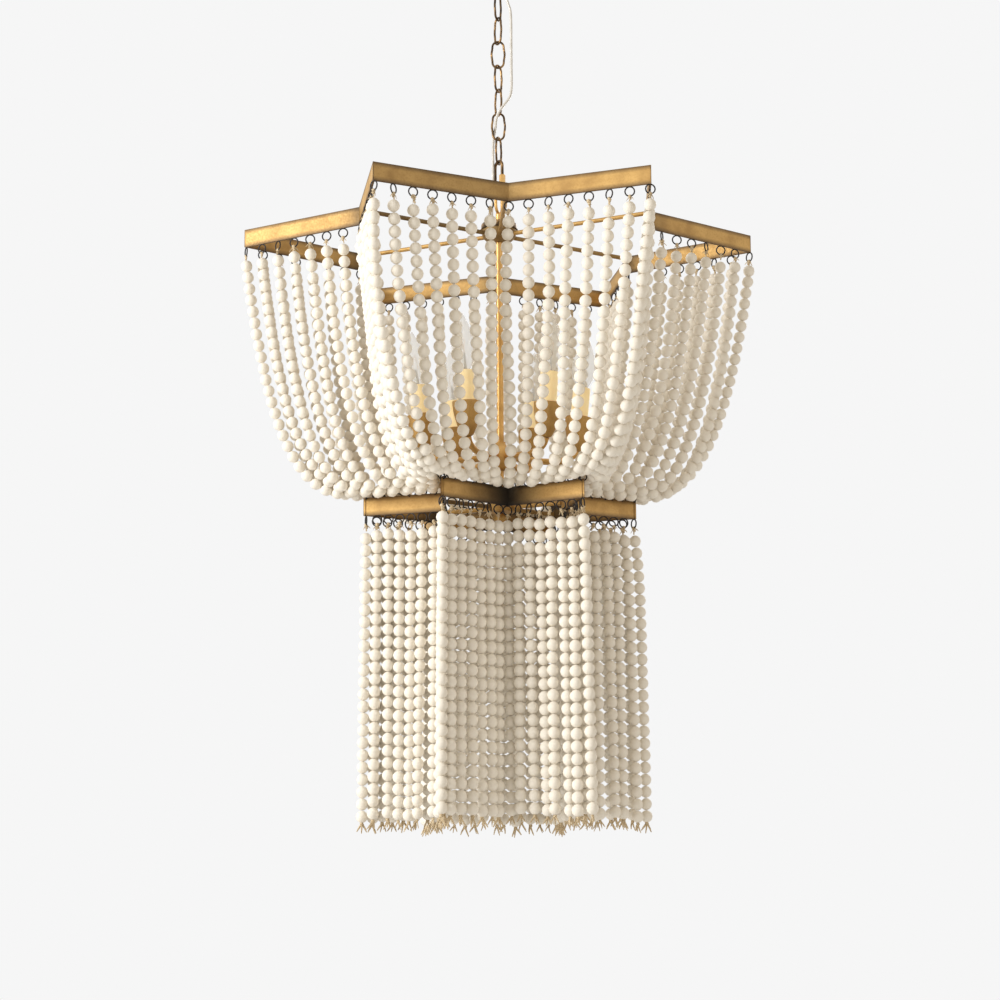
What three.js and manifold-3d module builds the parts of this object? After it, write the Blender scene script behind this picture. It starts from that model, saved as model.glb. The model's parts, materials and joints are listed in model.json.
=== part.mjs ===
// Beaded chandelier on a chain. Two six-pointed stars of flat strap hang one above the other.
// Swags of wooden beads run from the upper star to the lower one, a straight bead fringe hangs
// below, and six candle lights stand inside the bowl that the swags make.
// Millimetres, +Z up. The origin is on the ceiling, in the middle of the mounting strap.
import * as THREE from 'three'
import { mergeVertices } from 'three/addons/utils/BufferGeometryUtils.js'
import Module from 'manifold-3d'

const wasm = await Module()
wasm.setup()

// Clearances
const gap = 0.3               // between pieces that touch
const linkClearance = 0.35    // between the bends of two hooked links
const overrun = 1             // how far a cut, or a joined end, runs past a face

// Ceiling fitting
const strapLength = 104
const strapWidth = 20
const strapThickness = 3
const screwSpacing = 82
const screwRadius = 2
const screwHeadRadius = 4.2
const screwHeadHeight = 2.8
const canopyRadius = 65
const canopyDepth = 28
const canopyWall = 1.4
const nippleRadius = 5
const collarRadius = 13
const collarHeight = 16
const collarBelowCanopy = 8
const ringNutRadius = 19
const ringNutHeight = 5
const ceilingLoopWire = 4
const ceilingLoopWidth = 24
const ceilingLoopHeight = 26
const ceilingLoopTurn = 119

// Chain
const linkWire = 3
const linkLength = 42
const linkWidth = 19
const linkTurns = [-181, -121, -63, -3, 55, 115, 177, 243]
const quickWire = 4.4
const quickLength = 52
const quickWidth = 21
const quickTurn = 303
const quickSlot = 5           // the gap in its leg that the sleeve bridges
const quickSlotDrop = 5.5     // from the middle of the link down to the middle of that gap
const sleeveLength = 15.5
const sleeveRadius = 4.4
const hubLoopWire = 4.4
const hubLoopWidth = 26
const hubLoopHeight = 38
const hubLoopTurn = 243

// Supply cord and its strain reliefs
const cordDiameter = 3.5
const reliefLength = 14
const reliefRootRadius = 3.2
const reliefTipRadius = 2.3
const ceilingReliefReach = 9.4
const ceilingReliefTurn = -15
const hubReliefReach = 10
const hubReliefTurn = 172
// The cord's route between its reliefs, as [x, y, height]. It passes in front of the chain, goes
// through the seventh link from the front to the back, and runs on down beside the last one.
const cordRoute = [
  [9.1, -3.7, -58.6], [9.3, -5, -66.6], [9.5, -5.5, -78.6], [10.5, -5.6, -94.6], [13.9, -5.8, -106.6],
  [17.2, -6.3, -118.6], [18.2, -6.6, -134.6], [18.2, -7, -164.6], [18.2, -8, -204.6],
  [17.9, -9.6, -237.6], [14.4, -11.3, -251.1], [7.5, -11.8, -260.8], [1.3, -9.7, -268.6],
  [-2, -6.3, -275.1], [-3.5, -2.8, -281.6], [-4.1, 0.6, -288.1], [-4.9, 3.4, -294.6],
  [-6.2, 4.8, -302.1], [-7.2, 4.9, -310.6], [-7.8, 4, -329.6], [-7.9, 3.1, -354.6],
  [-8.5, 2.5, -384.6], [-9.6, 1.6, -406.6],
]

// Upper hub and spokes
const hubRadius = 24
const hubCapHeight = 9
const hubCapRadius = 25
const hubCupHeight = 18
const hubNeckRadius = 4.5
const hubNeckHeight = 15
const hubAboveStar = 12.5     // from the star's top edge up to the top of the cap
const spokeRadius = 3
const spokeDrop = 4           // from the star's top edge down to the spokes' middle

// Stars of flat strap
const strapHeight = 25.4
const barThickness = 3
const upperTipRadius = 355
const upperNotchRadius = 226
const lowerTipRadius = 188
const lowerNotchRadius = 94
const lowerTurn = 2.5         // the lower star and the lights stand a little round from the upper star

// Beads
const beadDiameter = 16.3
const strandsPerBar = 7       // strands on each bar, its notch counted and its tip not
const fringeBeadCount = 24
const twine = 3
const swagHang = 20.4         // from the upper star's bottom edge to the first bead
const fringeHang = 20.7       // from the lower star's bottom edge to the first bead
const swagEndReach = 10       // from the middle of the lower star's strap, square to it, to a strand's end
// How far above the lower star's top edge a strand ends, from the tip to the notch: shares of a bead.
const swagRiseShares = [0.7, 0.6, 0.48, 0.42, 0.42, 0.42, 0.42, 0.42]
const swagNeck = 5.5          // how far outside the lower star the twine runs level
const tipArrival = -20        // slope, in degrees, at which the tip strand comes in
const nextArrival = -20       // the same for the strand beside it
const notchArrival = -31      // the same for the notch strand
const ribRadius = 6.6         // of a fringe's ribs, between a bead's radius and the waist of two beads
const valleyThickness = 3     // of a fringe, between two strands

// Stem, lights and lower hub
const stemRadius = 5
const lightBodyRadius = 16
const lightBodyHeight = 40
const lightBodyDrop = 300     // from the upper star's top edge to the top of that body
const lightBodyAboveStar = 40 // from the lower star's top edge to the bottom of that body
const armRadius = 4.5
const lightReach = 110
const lightLean = 6
const cupRimRise = 36         // from the top of the lights' body to the rim of the cups
const cupRadius = 19
const cupHeight = 47
const cupWall = 1.6
const cupBowlDepth = 8
const cupFootRadius = 6
const candleRadius = 12
const candleWall = 1.2
const candleAboveRim = 42
const holderRadius = 9
const holderBelowCandle = 3   // from the top of the candle down to the top of the lamp holder
const capRadius = 6
const capLength = 22
const capClearance = 0.4
const bulbRadius = 17
const bulbLength = 77
const lowerHubRadius = 20
const lowerHubHeight = 12
const lowerSpokeRadius = 3
const lowerSpokeDrop = 12
const finialRadius = 9
const finialHeight = 22

// Derived heights, from the ceiling down
const turn = Math.PI / 180
const canopyBottom = -canopyDepth
const collarBottom = canopyBottom - collarBelowCanopy
const ceilingLoopBottom = collarBottom - ceilingLoopHeight
const hungFrom = (wireHeight, wireAbove, wire) => wireHeight + (wireAbove + wire) / 2 + linkClearance
const linkTops = []
const linkBottoms = []
let carrierHeight = ceilingLoopBottom + ceilingLoopWire / 2
let carrierWire = ceilingLoopWire
for (const _ of linkTurns) {
  const top = hungFrom(carrierHeight, carrierWire, linkWire)
  linkTops.push(top)
  carrierHeight = top - (linkLength - linkWire)
  carrierWire = linkWire
  linkBottoms.push(carrierHeight)
}
const quickTop = hungFrom(carrierHeight, linkWire, quickWire)
const quickBottom = quickTop - (quickLength - quickWire)
const hubLoopTop = hungFrom(quickBottom, quickWire, hubLoopWire)
const hubLoopBottom = hubLoopTop - (hubLoopHeight - hubLoopWire)
const hubTop = hubLoopBottom - hubNeckHeight
const starTop = hubTop - hubAboveStar
const starBottom = starTop - strapHeight
const lightBodyTop = starTop - lightBodyDrop
const lowerTop = lightBodyTop - lightBodyHeight - lightBodyAboveStar
const lowerBottom = lowerTop - strapHeight
const cupRim = lightBodyTop + cupRimRise
const lowerHubTop = lowerTop - lowerSpokeDrop + lowerHubHeight / 2
const bandHeight = lowerTop + gap + twine / 2
const fringeTop = lowerBottom - fringeHang
const fringeBottom = fringeTop - fringeBeadCount * beadDiameter

// Materials
const finish = (color, roughness, metalness) =>
  new THREE.MeshStandardMaterial({ color, roughness, metalness })
const gold = () => finish(0xb98f4c, 0.42, 0.9)
const bronze = () => finish(0x5a4630, 0.45, 0.85)
const wood = () => finish(0xeae4d8, 0.8, 0)
const cream = () => finish(0xf2e2b4, 0.6, 0)
const glass = () => finish(0xf4f4f0, 0.05, 0)
const steel = () => finish(0xa8a8a4, 0.35, 0.9)
const clearPlastic = () => finish(0xe6e0d2, 0.3, 0)

const chandelier = new THREE.Group()

function add(name, geometry, material, parent = chandelier) {
  const mesh = new THREE.Mesh(geometry, material)
  mesh.name = name
  parent.add(mesh)
  return mesh
}

// Solids: a closed mesh becomes a manifold to be joined or cut, and comes back as a geometry.
function solid(geometry) {
  const bare = geometry.index ? geometry.clone() : geometry
  bare.deleteAttribute('normal')
  bare.deleteAttribute('uv')
  const merged = mergeVertices(bare, 1e-4)
  const vertProperties = new Float32Array(merged.attributes.position.array)
  const triVerts = new Uint32Array(merged.index.array)
  return new wasm.Manifold(new wasm.Mesh({ numProp: 3, vertProperties, triVerts }))
}

function geometryOf(manifold) {
  const mesh = manifold.getMesh()
  const geometry = new THREE.BufferGeometry()
  geometry.setAttribute('position', new THREE.BufferAttribute(new Float32Array(mesh.vertProperties), 3))
  geometry.setIndex(new THREE.BufferAttribute(new Uint32Array(mesh.triVerts), 1))
  return geometry
}

const joined = geometries => geometries.map(solid).reduce((all, next) => all.add(next))

// A skin over a row of rings that all have the same number of points, capped or closed on itself.
function loft(rings, closed = false) {
  const sides = rings[0].length
  const positions = rings.flat().flatMap(p => [p.x, p.y, p.z])
  const index = []
  const steps = closed ? rings.length : rings.length - 1
  for (let i = 0; i < steps; i++) {
    const here = i * sides
    const next = ((i + 1) % rings.length) * sides
    for (let k = 0; k < sides; k++) {
      const l = (k + 1) % sides
      index.push(here + k, here + l, next + l, here + k, next + l, next + k)
    }
  }
  if (!closed) {
    const last = (rings.length - 1) * sides
    for (let k = 1; k < sides - 1; k++) {
      index.push(0, k + 1, k)
      index.push(last, last + k, last + k + 1)
    }
  }
  const geometry = new THREE.BufferGeometry()
  geometry.setAttribute('position', new THREE.BufferAttribute(new Float32Array(positions), 3))
  geometry.setIndex(index)
  return geometry
}

// A ring of points round a centre, in the plane of two unit vectors, turning from one to the other.
function ring(centre, across, along, radius, sides, start = 0) {
  return Array.from({ length: sides }, (_, k) => {
    const angle = start + k * 2 * Math.PI / sides
    return centre.clone()
      .addScaledVector(across, radius * Math.cos(angle))
      .addScaledVector(along, radius * Math.sin(angle))
  })
}

const up = new THREE.Vector3(0, 0, 1)
const sideways = new THREE.Vector3(0, 1, 0)
const polar = (radius, angle, z = 0) =>
  new THREE.Vector3(radius * Math.cos(angle), radius * Math.sin(angle), z)

// Wire bent to an oval in the XZ plane, its top bend at height top and its bottom one at bottom
// (both at the wire's middle). A slot from slotLow to slotHigh leaves the leg at -X open.
function ovalWire(top, bottom, width, wire, sides, bendSteps, slotLow, slotHigh) {
  const bend = (width - wire) / 2
  const rings = []
  const place = (x, z, angle) => {
    const outward = new THREE.Vector3(Math.cos(angle), 0, Math.sin(angle))
    rings.push(ring(new THREE.Vector3(x, 0, z), outward, sideways, wire / 2, sides))
  }
  const open = slotHigh !== undefined
  if (open) place(-bend, slotLow, Math.PI)
  for (let k = 0; k <= bendSteps; k++) {
    const angle = -Math.PI + k * Math.PI / bendSteps
    place(bend * Math.cos(angle), bottom + bend + bend * Math.sin(angle), angle)
  }
  for (let k = 0; k <= bendSteps; k++) {
    const angle = k * Math.PI / bendSteps
    place(bend * Math.cos(angle), top - bend + bend * Math.sin(angle), angle)
  }
  if (open) place(-bend, slotHigh, Math.PI)
  return loft(rings, !open)
}

// A solid of revolution about Z from a profile of [radius, height] pairs, listed going up the
// outside, with both ends on the axis or, when closed, back to the first point.
function turned(profile, segments, closed = false) {
  const points = profile.map(([radius, height]) => new THREE.Vector2(radius, height))
  if (closed) points.push(points[0].clone())
  return new THREE.LatheGeometry(points, segments).rotateX(Math.PI / 2)
}

const rod = (radius, bottom, top, segments) =>
  turned([[0, bottom], [radius, bottom], [radius, top], [0, top]], segments)

// A straight round rod lying between two points.
function bar(from, to, radius, sides) {
  const direction = to.clone().sub(from).normalize()
  const across = new THREE.Vector3().crossVectors(up, direction).normalize()
  const along = new THREE.Vector3().crossVectors(direction, across)
  return loft([ring(from, across, along, radius, sides), ring(to, across, along, radius, sides)])
}

// Outline of a six-pointed star: tips and notches in turn, the first tip at +X.
function starOutline(tipRadius, notchRadius) {
  return Array.from({ length: 12 }, (_, k) => polar(k % 2 ? notchRadius : tipRadius, k * Math.PI / 6))
}

// The same outline moved inwards by a distance, its corners mitred.
function inset(outline, distance) {
  const count = outline.length
  return outline.map((corner, k) => {
    const before = corner.clone().sub(outline[(k + count - 1) % count]).normalize()
    const after = outline[(k + 1) % count].clone().sub(corner).normalize()
    const inward = new THREE.Vector3().crossVectors(up, before)
      .add(new THREE.Vector3().crossVectors(up, after)).normalize()
    const normal = new THREE.Vector3().crossVectors(up, before)
    return corner.clone().addScaledVector(inward, distance / inward.dot(normal))
  })
}

// Places along the middle of the strap for each strand: star point, then strand across it.
// Strand 0 hangs at the tip, and strands -7 and 7 at the notches on each side of it.
function strandPlaces(tipRadius, notchRadius) {
  const middle = inset(starOutline(tipRadius, notchRadius), barThickness / 2)
  return Array.from({ length: 6 }, (_, point) => offset => {
    const tip = middle[2 * point]
    const notch = middle[(2 * point + Math.sign(offset) + 12) % 12]
    return tip.clone().lerp(notch, Math.abs(offset) / strandsPerBar)
  })
}

// Ceiling fitting: strap, screws, canopy, threaded collar with its loop, and ring nut
const bodyOfStrap = new THREE.Shape()
  .moveTo(-strapLength / 2, -strapWidth / 2)
  .lineTo(strapLength / 2, -strapWidth / 2)
  .lineTo(strapLength / 2, strapWidth / 2)
  .lineTo(-strapLength / 2, strapWidth / 2)
for (const side of [-1, 1]) {
  const middle = side * screwSpacing / 2
  bodyOfStrap.holes.push(new THREE.Path().absarc(middle, 0, screwRadius + gap, 0, 2 * Math.PI))
}
const strapCut = { depth: strapThickness, bevelEnabled: false, curveSegments: 5 }
add('mounting_strap',
  new THREE.ExtrudeGeometry(bodyOfStrap, strapCut).translate(0, 0, -strapThickness), steel())

const screwHeadTop = -strapThickness - gap
for (const [side, name] of [[-1, 'mounting_screw_left'], [1, 'mounting_screw_right']]) {
  const profile = [
    [0, screwHeadTop - screwHeadHeight], [screwHeadRadius, screwHeadTop - screwHeadHeight / 2],
    [screwHeadRadius, screwHeadTop], [screwRadius, screwHeadTop], [screwRadius, -gap], [0, -gap],
  ]
  add(name, turned(profile, 10).translate(side * screwSpacing / 2, 0, 0), steel())
}

// The canopy's dome, from its rim to its hole: shares of the radius and of the depth.
const canopyShares = [[1, 0], [1, 0.2], [0.93, 0.5], [0.76, 0.78], [0.48, 0.94]]
const canopyHole = collarRadius + gap
const canopyOutside = canopyShares.map(([r, z]) => [r * canopyRadius, -z * canopyDepth])
const canopyInside = canopyShares.map(([r, z]) =>
  [r * (canopyRadius - canopyWall), -z * (canopyDepth - canopyWall)])
add('canopy', turned([[canopyHole, canopyBottom], ...canopyOutside.reverse(), ...canopyInside,
  [canopyHole, canopyBottom + canopyWall]], 20, true), bronze())

const collarTop = collarBottom + collarHeight
const ceilingLoop = ovalWire(collarBottom + ceilingLoopWire / 2, ceilingLoopBottom + ceilingLoopWire / 2,
  ceilingLoopWidth, ceilingLoopWire, 8, 6)
const collar = turned([
  [0, collarBottom], [collarRadius, collarBottom], [collarRadius, collarTop],
  [nippleRadius, collarTop], [nippleRadius, -strapThickness - gap], [0, -strapThickness - gap],
], 16)
add('collar_loop', geometryOf(joined([collar, ceilingLoop.rotateZ(ceilingLoopTurn * turn)])), bronze())

const nutTop = canopyBottom - gap
add('ring_nut', turned([
  [collarRadius + gap, nutTop - ringNutHeight], [ringNutRadius - overrun, nutTop - ringNutHeight],
  [ringNutRadius, nutTop - ringNutHeight / 2], [ringNutRadius, nutTop], [collarRadius + gap, nutTop],
], 16, true), bronze())

// Chain links and the quick link that closes the chain on the light
linkTurns.forEach((angle, k) => {
  const link = ovalWire(linkTops[k], linkBottoms[k], linkWidth, linkWire, 6, 6)
  add(`chain_link_${k + 1}`, link.rotateZ(angle * turn), bronze())
})

const quickMiddle = (quickTop + quickBottom) / 2
const slotMiddle = quickMiddle - quickSlotDrop
const quickLink = ovalWire(quickTop, quickBottom, quickWidth, quickWire, 6, 6,
  slotMiddle - quickSlot / 2, slotMiddle + quickSlot / 2)
add('quick_link', quickLink.rotateZ((quickTurn + 180) * turn), bronze())

const quickBend = (quickWidth - quickWire) / 2
const sleeveBore = quickWire / 2 + gap
const sleeveBottom = slotMiddle - sleeveLength / 2 + gap
const sleeve = turned([
  [sleeveBore, sleeveBottom], [sleeveRadius, sleeveBottom],
  [sleeveRadius, sleeveBottom + sleeveLength], [sleeveBore, sleeveBottom + sleeveLength],
], 8, true)
const sleevePlace = polar(quickBend, quickTurn * turn)
add('quick_link_sleeve', sleeve.translate(sleevePlace.x, sleevePlace.y, 0), gold())

// Upper hub: loop on its neck, dark cap, and cup with six spokes to the star's notches
const hubNeck = rod(hubNeckRadius, hubTop + gap, hubLoopBottom, 10)
const hubLoop = ovalWire(hubLoopTop, hubLoopBottom, hubLoopWidth, hubLoopWire, 8, 6)
add('hub_loop', geometryOf(joined([hubNeck, hubLoop.rotateZ(hubLoopTurn * turn)])), gold())

const capBottom = hubTop - hubCapHeight
add('hub_cap', turned([
  [0, capBottom], [hubCapRadius, capBottom], [hubCapRadius, hubTop - overrun],
  [hubCapRadius - overrun, hubTop], [0, hubTop],
], 20), bronze())

const cupTopHeight = capBottom - gap
const cupBottomHeight = cupTopHeight - hubCupHeight
const hubCupShares = [[0.62, 0], [0.88, 0.12], [1, 0.38], [1, 1]]
const hubCup = turned([[0, cupBottomHeight],
  ...hubCupShares.map(([r, z]) => [r * hubRadius, cupBottomHeight + z * hubCupHeight]),
  [0, cupTopHeight]], 18)
const upperInside = inset(starOutline(upperTipRadius, upperNotchRadius), barThickness)
const spokeHeight = starTop - spokeDrop
const spokes = upperInside.filter((_, k) => k % 2).map(notch => {
  const outward = notch.clone().normalize()
  const end = outward.clone().multiplyScalar(notch.length() - gap)
  return bar(outward.multiplyScalar(hubRadius / 2).setZ(spokeHeight), end.setZ(spokeHeight), spokeRadius, 8)
})
add('upper_spider', geometryOf(joined([hubCup, ...spokes])), gold())

// The two stars of flat strap
function starFrame(tipRadius, notchRadius, bottom) {
  const outline = starOutline(tipRadius, notchRadius)
  const shape = new THREE.Shape(outline.map(p => new THREE.Vector2(p.x, p.y)))
  const hole = inset(outline, barThickness).map(p => new THREE.Vector2(p.x, p.y))
  shape.holes.push(new THREE.Path(hole))
  const cut = { depth: strapHeight, bevelEnabled: false }
  return new THREE.ExtrudeGeometry(shape, cut).translate(0, 0, bottom)
}
add('upper_star', starFrame(upperTipRadius, upperNotchRadius, starBottom), gold())

const lower = new THREE.Group()
lower.rotation.z = lowerTurn * turn
chandelier.add(lower)
add('lower_star', starFrame(lowerTipRadius, lowerNotchRadius, lowerBottom), gold(), lower)

// Stem in two lengths, with the lights' body between them and the lower hub at its end
add('stem_upper', rod(stemRadius, lightBodyTop + gap, cupBottomHeight - gap, 12), gold())

const lightBodyBottom = lightBodyTop - lightBodyHeight
const bodyShares = [[0.45, 0], [0.8, 0.12], [1, 0.35], [1, 0.6], [0.7, 0.8], [0.45, 1]]
const lightBody = turned([[0, lightBodyBottom],
  ...bodyShares.map(([r, z]) => [r * lightBodyRadius, lightBodyBottom + z * lightBodyHeight]),
  [0, lightBodyTop]], 14)

// An arm leaves the body level, sinks a little and turns up into the foot of its cup.
const lean = lightLean * turn
const cupFootReach = lightReach - cupHeight * Math.tan(lean)
const cupFoot = cupRim - cupHeight
const armLevel = lightBodyBottom + lightBodyHeight / 2
const armShares = [[0.55, 0.1], [0.92, 0.12]]   // of its span: how far out and how far down it bends
function arm(angle) {
  const at = (reach, height) => polar(reach, angle, height)
  const span = cupFootReach - lightBodyRadius
  const path = new THREE.CubicBezierCurve3(
    at(lightBodyRadius / 2, armLevel),
    ...armShares.map(([out, down]) => at(lightBodyRadius + out * span, armLevel - down * span)),
    at(cupFootReach - gap * Math.sin(lean), cupFoot - gap))
  const section = new THREE.Shape().absarc(0, 0, armRadius, 0, 2 * Math.PI)
  return new THREE.ExtrudeGeometry(section, { steps: 6, extrudePath: path, curveSegments: 3 })
}
const lightAngles = Array.from({ length: 6 }, (_, k) => k * Math.PI / 3)
const armsSolid = joined([lightBody, ...lightAngles.map(arm)])
const trimmed = lightAngles.reduce((all, angle) => {
  const cutWidth = 2 * (cupRadius + armRadius)
  const above = new THREE.BoxGeometry(cutWidth, cutWidth, cupHeight)
    .translate(0, 0, cupHeight / 2 - gap).rotateY(lean)
  above.rotateZ(angle).translate(...polar(cupFootReach, angle, cupFoot).toArray())
  return all.subtract(solid(above))
}, armsSolid)
add('light_arms', geometryOf(trimmed), gold(), lower)

// Each light stands on its own leaning axis: socket cup with its lamp holder, candle, bulb
const cupOutsideShares = [[1, 0.08], [0.95, 0.3], [0.78, 0.6], [0.5, 0.86]]
const candleTop = candleAboveRim
const holderTop = candleTop - holderBelowCandle
const holderBore = capRadius + capClearance
const bulbBase = holderTop - capLength + gap
const bulbShares = [[0.5, 0.04], [0.86, 0.2], [1, 0.36], [0.86, 0.56], [0.5, 0.78], [0.16, 0.94]]
lightAngles.forEach((angle, k) => {
  const light = new THREE.Group()
  light.position.copy(polar(lightReach, angle, cupRim))
  light.rotation.set(0, lean, angle, 'ZYX')
  lower.add(light)
  add(`socket_cup_${k + 1}`, turned([
    [0, -cupHeight], [cupFootRadius, -cupHeight],
    ...[...cupOutsideShares].reverse().map(([r, z]) => [r * cupRadius, -z * cupHeight]),
    [cupRadius, 0], [cupRadius - cupWall, 0], [candleRadius + gap, -cupBowlDepth],
    [holderRadius, -cupBowlDepth], [holderRadius, holderTop], [holderBore, holderTop],
    [holderBore, holderTop - capLength], [0, holderTop - capLength],
  ], 10), gold(), light)
  add(`candle_${k + 1}`, turned([
    [candleRadius - candleWall, gap - cupBowlDepth], [candleRadius, gap - cupBowlDepth],
    [candleRadius, candleTop], [candleRadius - candleWall, candleTop],
  ], 10, true), cream(), light)
  const glassBottom = candleTop + gap
  add(`bulb_${k + 1}`, turned([
    [0, bulbBase], [capRadius, bulbBase], [capRadius, glassBottom],
    ...bulbShares.map(([r, z]) => [r * bulbRadius, glassBottom + z * bulbLength]),
    [0, glassBottom + bulbLength],
  ], 8), glass(), light)
})

const lowerHubBottom = lowerHubTop - lowerHubHeight
add('stem_lower', rod(stemRadius, lowerHubTop + gap, lightBodyBottom - gap, 12), gold())
const lowerInside = inset(starOutline(lowerTipRadius, lowerNotchRadius), barThickness)
const lowerSpokeHeight = lowerTop - lowerSpokeDrop
const lowerSpokes = lowerInside.filter((_, k) => k % 2).map(notch => {
  const outward = notch.clone().normalize()
  const end = outward.clone().multiplyScalar(notch.length() - gap)
  return bar(outward.multiplyScalar(lowerHubRadius / 2).setZ(lowerSpokeHeight),
    end.setZ(lowerSpokeHeight), lowerSpokeRadius, 8)
})
const lowerHub = rod(lowerHubRadius, lowerHubBottom, lowerHubTop, 16)
add('lower_spider', geometryOf(joined([lowerHub, ...lowerSpokes])),
  gold(), lower)
const finialShares = [[0.35, 1], [0.75, 0.85], [1, 0.6], [0.75, 0.3], [0.3, 0.1]]
add('finial', turned([[0, lowerHubBottom - gap - finialHeight],
  ...[...finialShares].reverse().map(([r, z]) =>
    [r * finialRadius, lowerHubBottom - gap - finialHeight * (1 - z)]),
  [0, lowerHubBottom - gap]], 12), gold())

// A swag strand hangs in the upright plane through its two ends, as a catenary that comes in to
// its lower end at a given slope. The shares say where along its length the skin has a ring: more
// of them on the strand at the tip, which bends most.
const tipStationShares = [1, 0.62, 0.42, 0.28, 0.17, 0.08, 0]
const stationShares = [1, 0.62, 0.36, 0.2, 0.08, 0]
function catenary(run, rise, arrival) {
  const start = Math.asinh(Math.tan(arrival * turn))
  const steepness = end => (Math.cosh(end) - Math.cosh(start)) / (end - start)
  let [low, high] = [start + 1e-6, start + 12]
  for (let k = 0; k < 80; k++) {
    const middle = (low + high) / 2
    if (steepness(middle) < rise / run) low = middle
    else high = middle
  }
  const scale = run / (low - start)
  return share => {
    const length = Math.sinh(start) + share * (Math.sinh(low) - Math.sinh(start))
    const place = Math.asinh(length)
    const up = scale * (Math.cosh(place) - Math.cosh(start))
    return { out: scale * (place - start), up, slope: Math.atan(length) }
  }
}

// The slope at the lower end: every strand sags a little below its end before it comes in.
function arrivalOf(offset) {
  if (offset === 0) return tipArrival
  const share = (Math.abs(offset) - 1) / (strandsPerBar - 1)
  return nextArrival + share * (notchArrival - nextArrival)
}

const upperPlaces = strandPlaces(upperTipRadius, upperNotchRadius)
const lowerPlaces = strandPlaces(lowerTipRadius, lowerNotchRadius).map(place => offset =>
  place(offset).applyAxisAngle(up, lowerTurn * turn))

// A strand's route: where it is tied, its direction, and a centre and slope for each ring.
function swagRoute(point, offset) {
  const from = upperPlaces[point](offset)
  const to = lowerPlaces[point](offset)
  const outward = from.clone().sub(to).normalize()
  const alongBar = lowerPlaces[point](1).sub(lowerPlaces[point](0)).normalize()
  if (offset < 0) alongBar.copy(lowerPlaces[point](-1)).sub(lowerPlaces[point](0)).normalize()
  const reach = offset
    ? swagEndReach / Math.sqrt(1 - outward.dot(alongBar) ** 2)
    : swagEndReach + barThickness
  const end = to.clone().addScaledVector(outward, reach)
    .setZ(lowerTop + swagRiseShares[Math.abs(offset)] * beadDiameter)
  const run = from.clone().sub(end).setZ(0).length()
  const curve = catenary(run, starBottom - swagHang - end.z, arrivalOf(offset))
  const stations = (offset ? stationShares : tipStationShares).map(share => {
    const { out, up: rise, slope } = curve(share)
    return { centre: end.clone().addScaledVector(outward, out).setZ(end.z + rise), slope }
  })
  return { from, to, outward, stations }
}

// Where two panels meet, each takes half of the room between their two nearest strands: this is
// the radius that a strand may have at each of its rings.
function roomBeside({ stations }, other) {
  const lines = other.stations.slice(1).map((station, k) =>
    new THREE.Line3(other.stations[k].centre, station.centre))
  const nearest = new THREE.Vector3()
  const distance = place => Math.min(...lines.map(line =>
    line.closestPointToPoint(place, true, nearest).distanceTo(place)))
  const along = (k, step) => stations[k].centre.clone().lerp(
    stations[Math.min(Math.max(k + Math.sign(step), 0), stations.length - 1)].centre, Math.abs(step) / 6)
  return stations.map((_, k) => Math.min(beadDiameter / 2,
    ...Array.from({ length: 13 }, (_, n) => (distance(along(k, n - 6)) - gap) / 2)))
}

function swagStrand({ from, to, outward, stations }, radii) {
  const across = new THREE.Vector3().crossVectors(up, outward)
  const square = (centre, slope, half) => {
    const along = outward.clone().multiplyScalar(Math.cos(slope)).setZ(Math.sin(slope))
    const normal = new THREE.Vector3().crossVectors(across, along)
    return ring(centre, across, normal, half, 4)
  }
  const upright = Math.PI / 2
  return loft([
    square(from.clone().setZ(starBottom - gap), upright, twine / 2),
    square(from.clone().setZ(starBottom - swagHang + twine), upright, twine / 2),
    ...stations.map(({ centre, slope }, k) => square(centre, slope, radii ? radii[k] : beadDiameter / 2)),
    ...[swagNeck, 0].map(reach => square(
      to.clone().addScaledVector(outward, reach).setZ(bandHeight), 0, twine / 2)),
  ])
}

// One swag panel for each star point, from just past one notch to the next notch. A band of twine
// along the top of the lower star joins the strands' ends.
const offsets = Array.from({ length: 2 * strandsPerBar }, (_, k) => k + 1 - strandsPerBar)
const firstOffset = offsets[0]
for (let point = 0; point < 6; point++) {
  const strands = offsets.map(offset => {
    const route = swagRoute(point, offset)
    if (offset === strandsPerBar) {
      return swagStrand(route, roomBeside(route, swagRoute((point + 1) % 6, firstOffset)))
    }
    if (offset === firstOffset) {
      return swagStrand(route, roomBeside(route, swagRoute((point + 5) % 6, strandsPerBar)))
    }
    return swagStrand(route)
  })
  const band = loft(offsets.map(offset => ring(lowerPlaces[point](offset).setZ(bandHeight), up,
    polar(1, (point * 60 + lowerTurn) * turn), twine / 2, 4)))
  add(`swag_${point + 1}`, geometryOf(joined([...strands, band])), wood())
}

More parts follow.
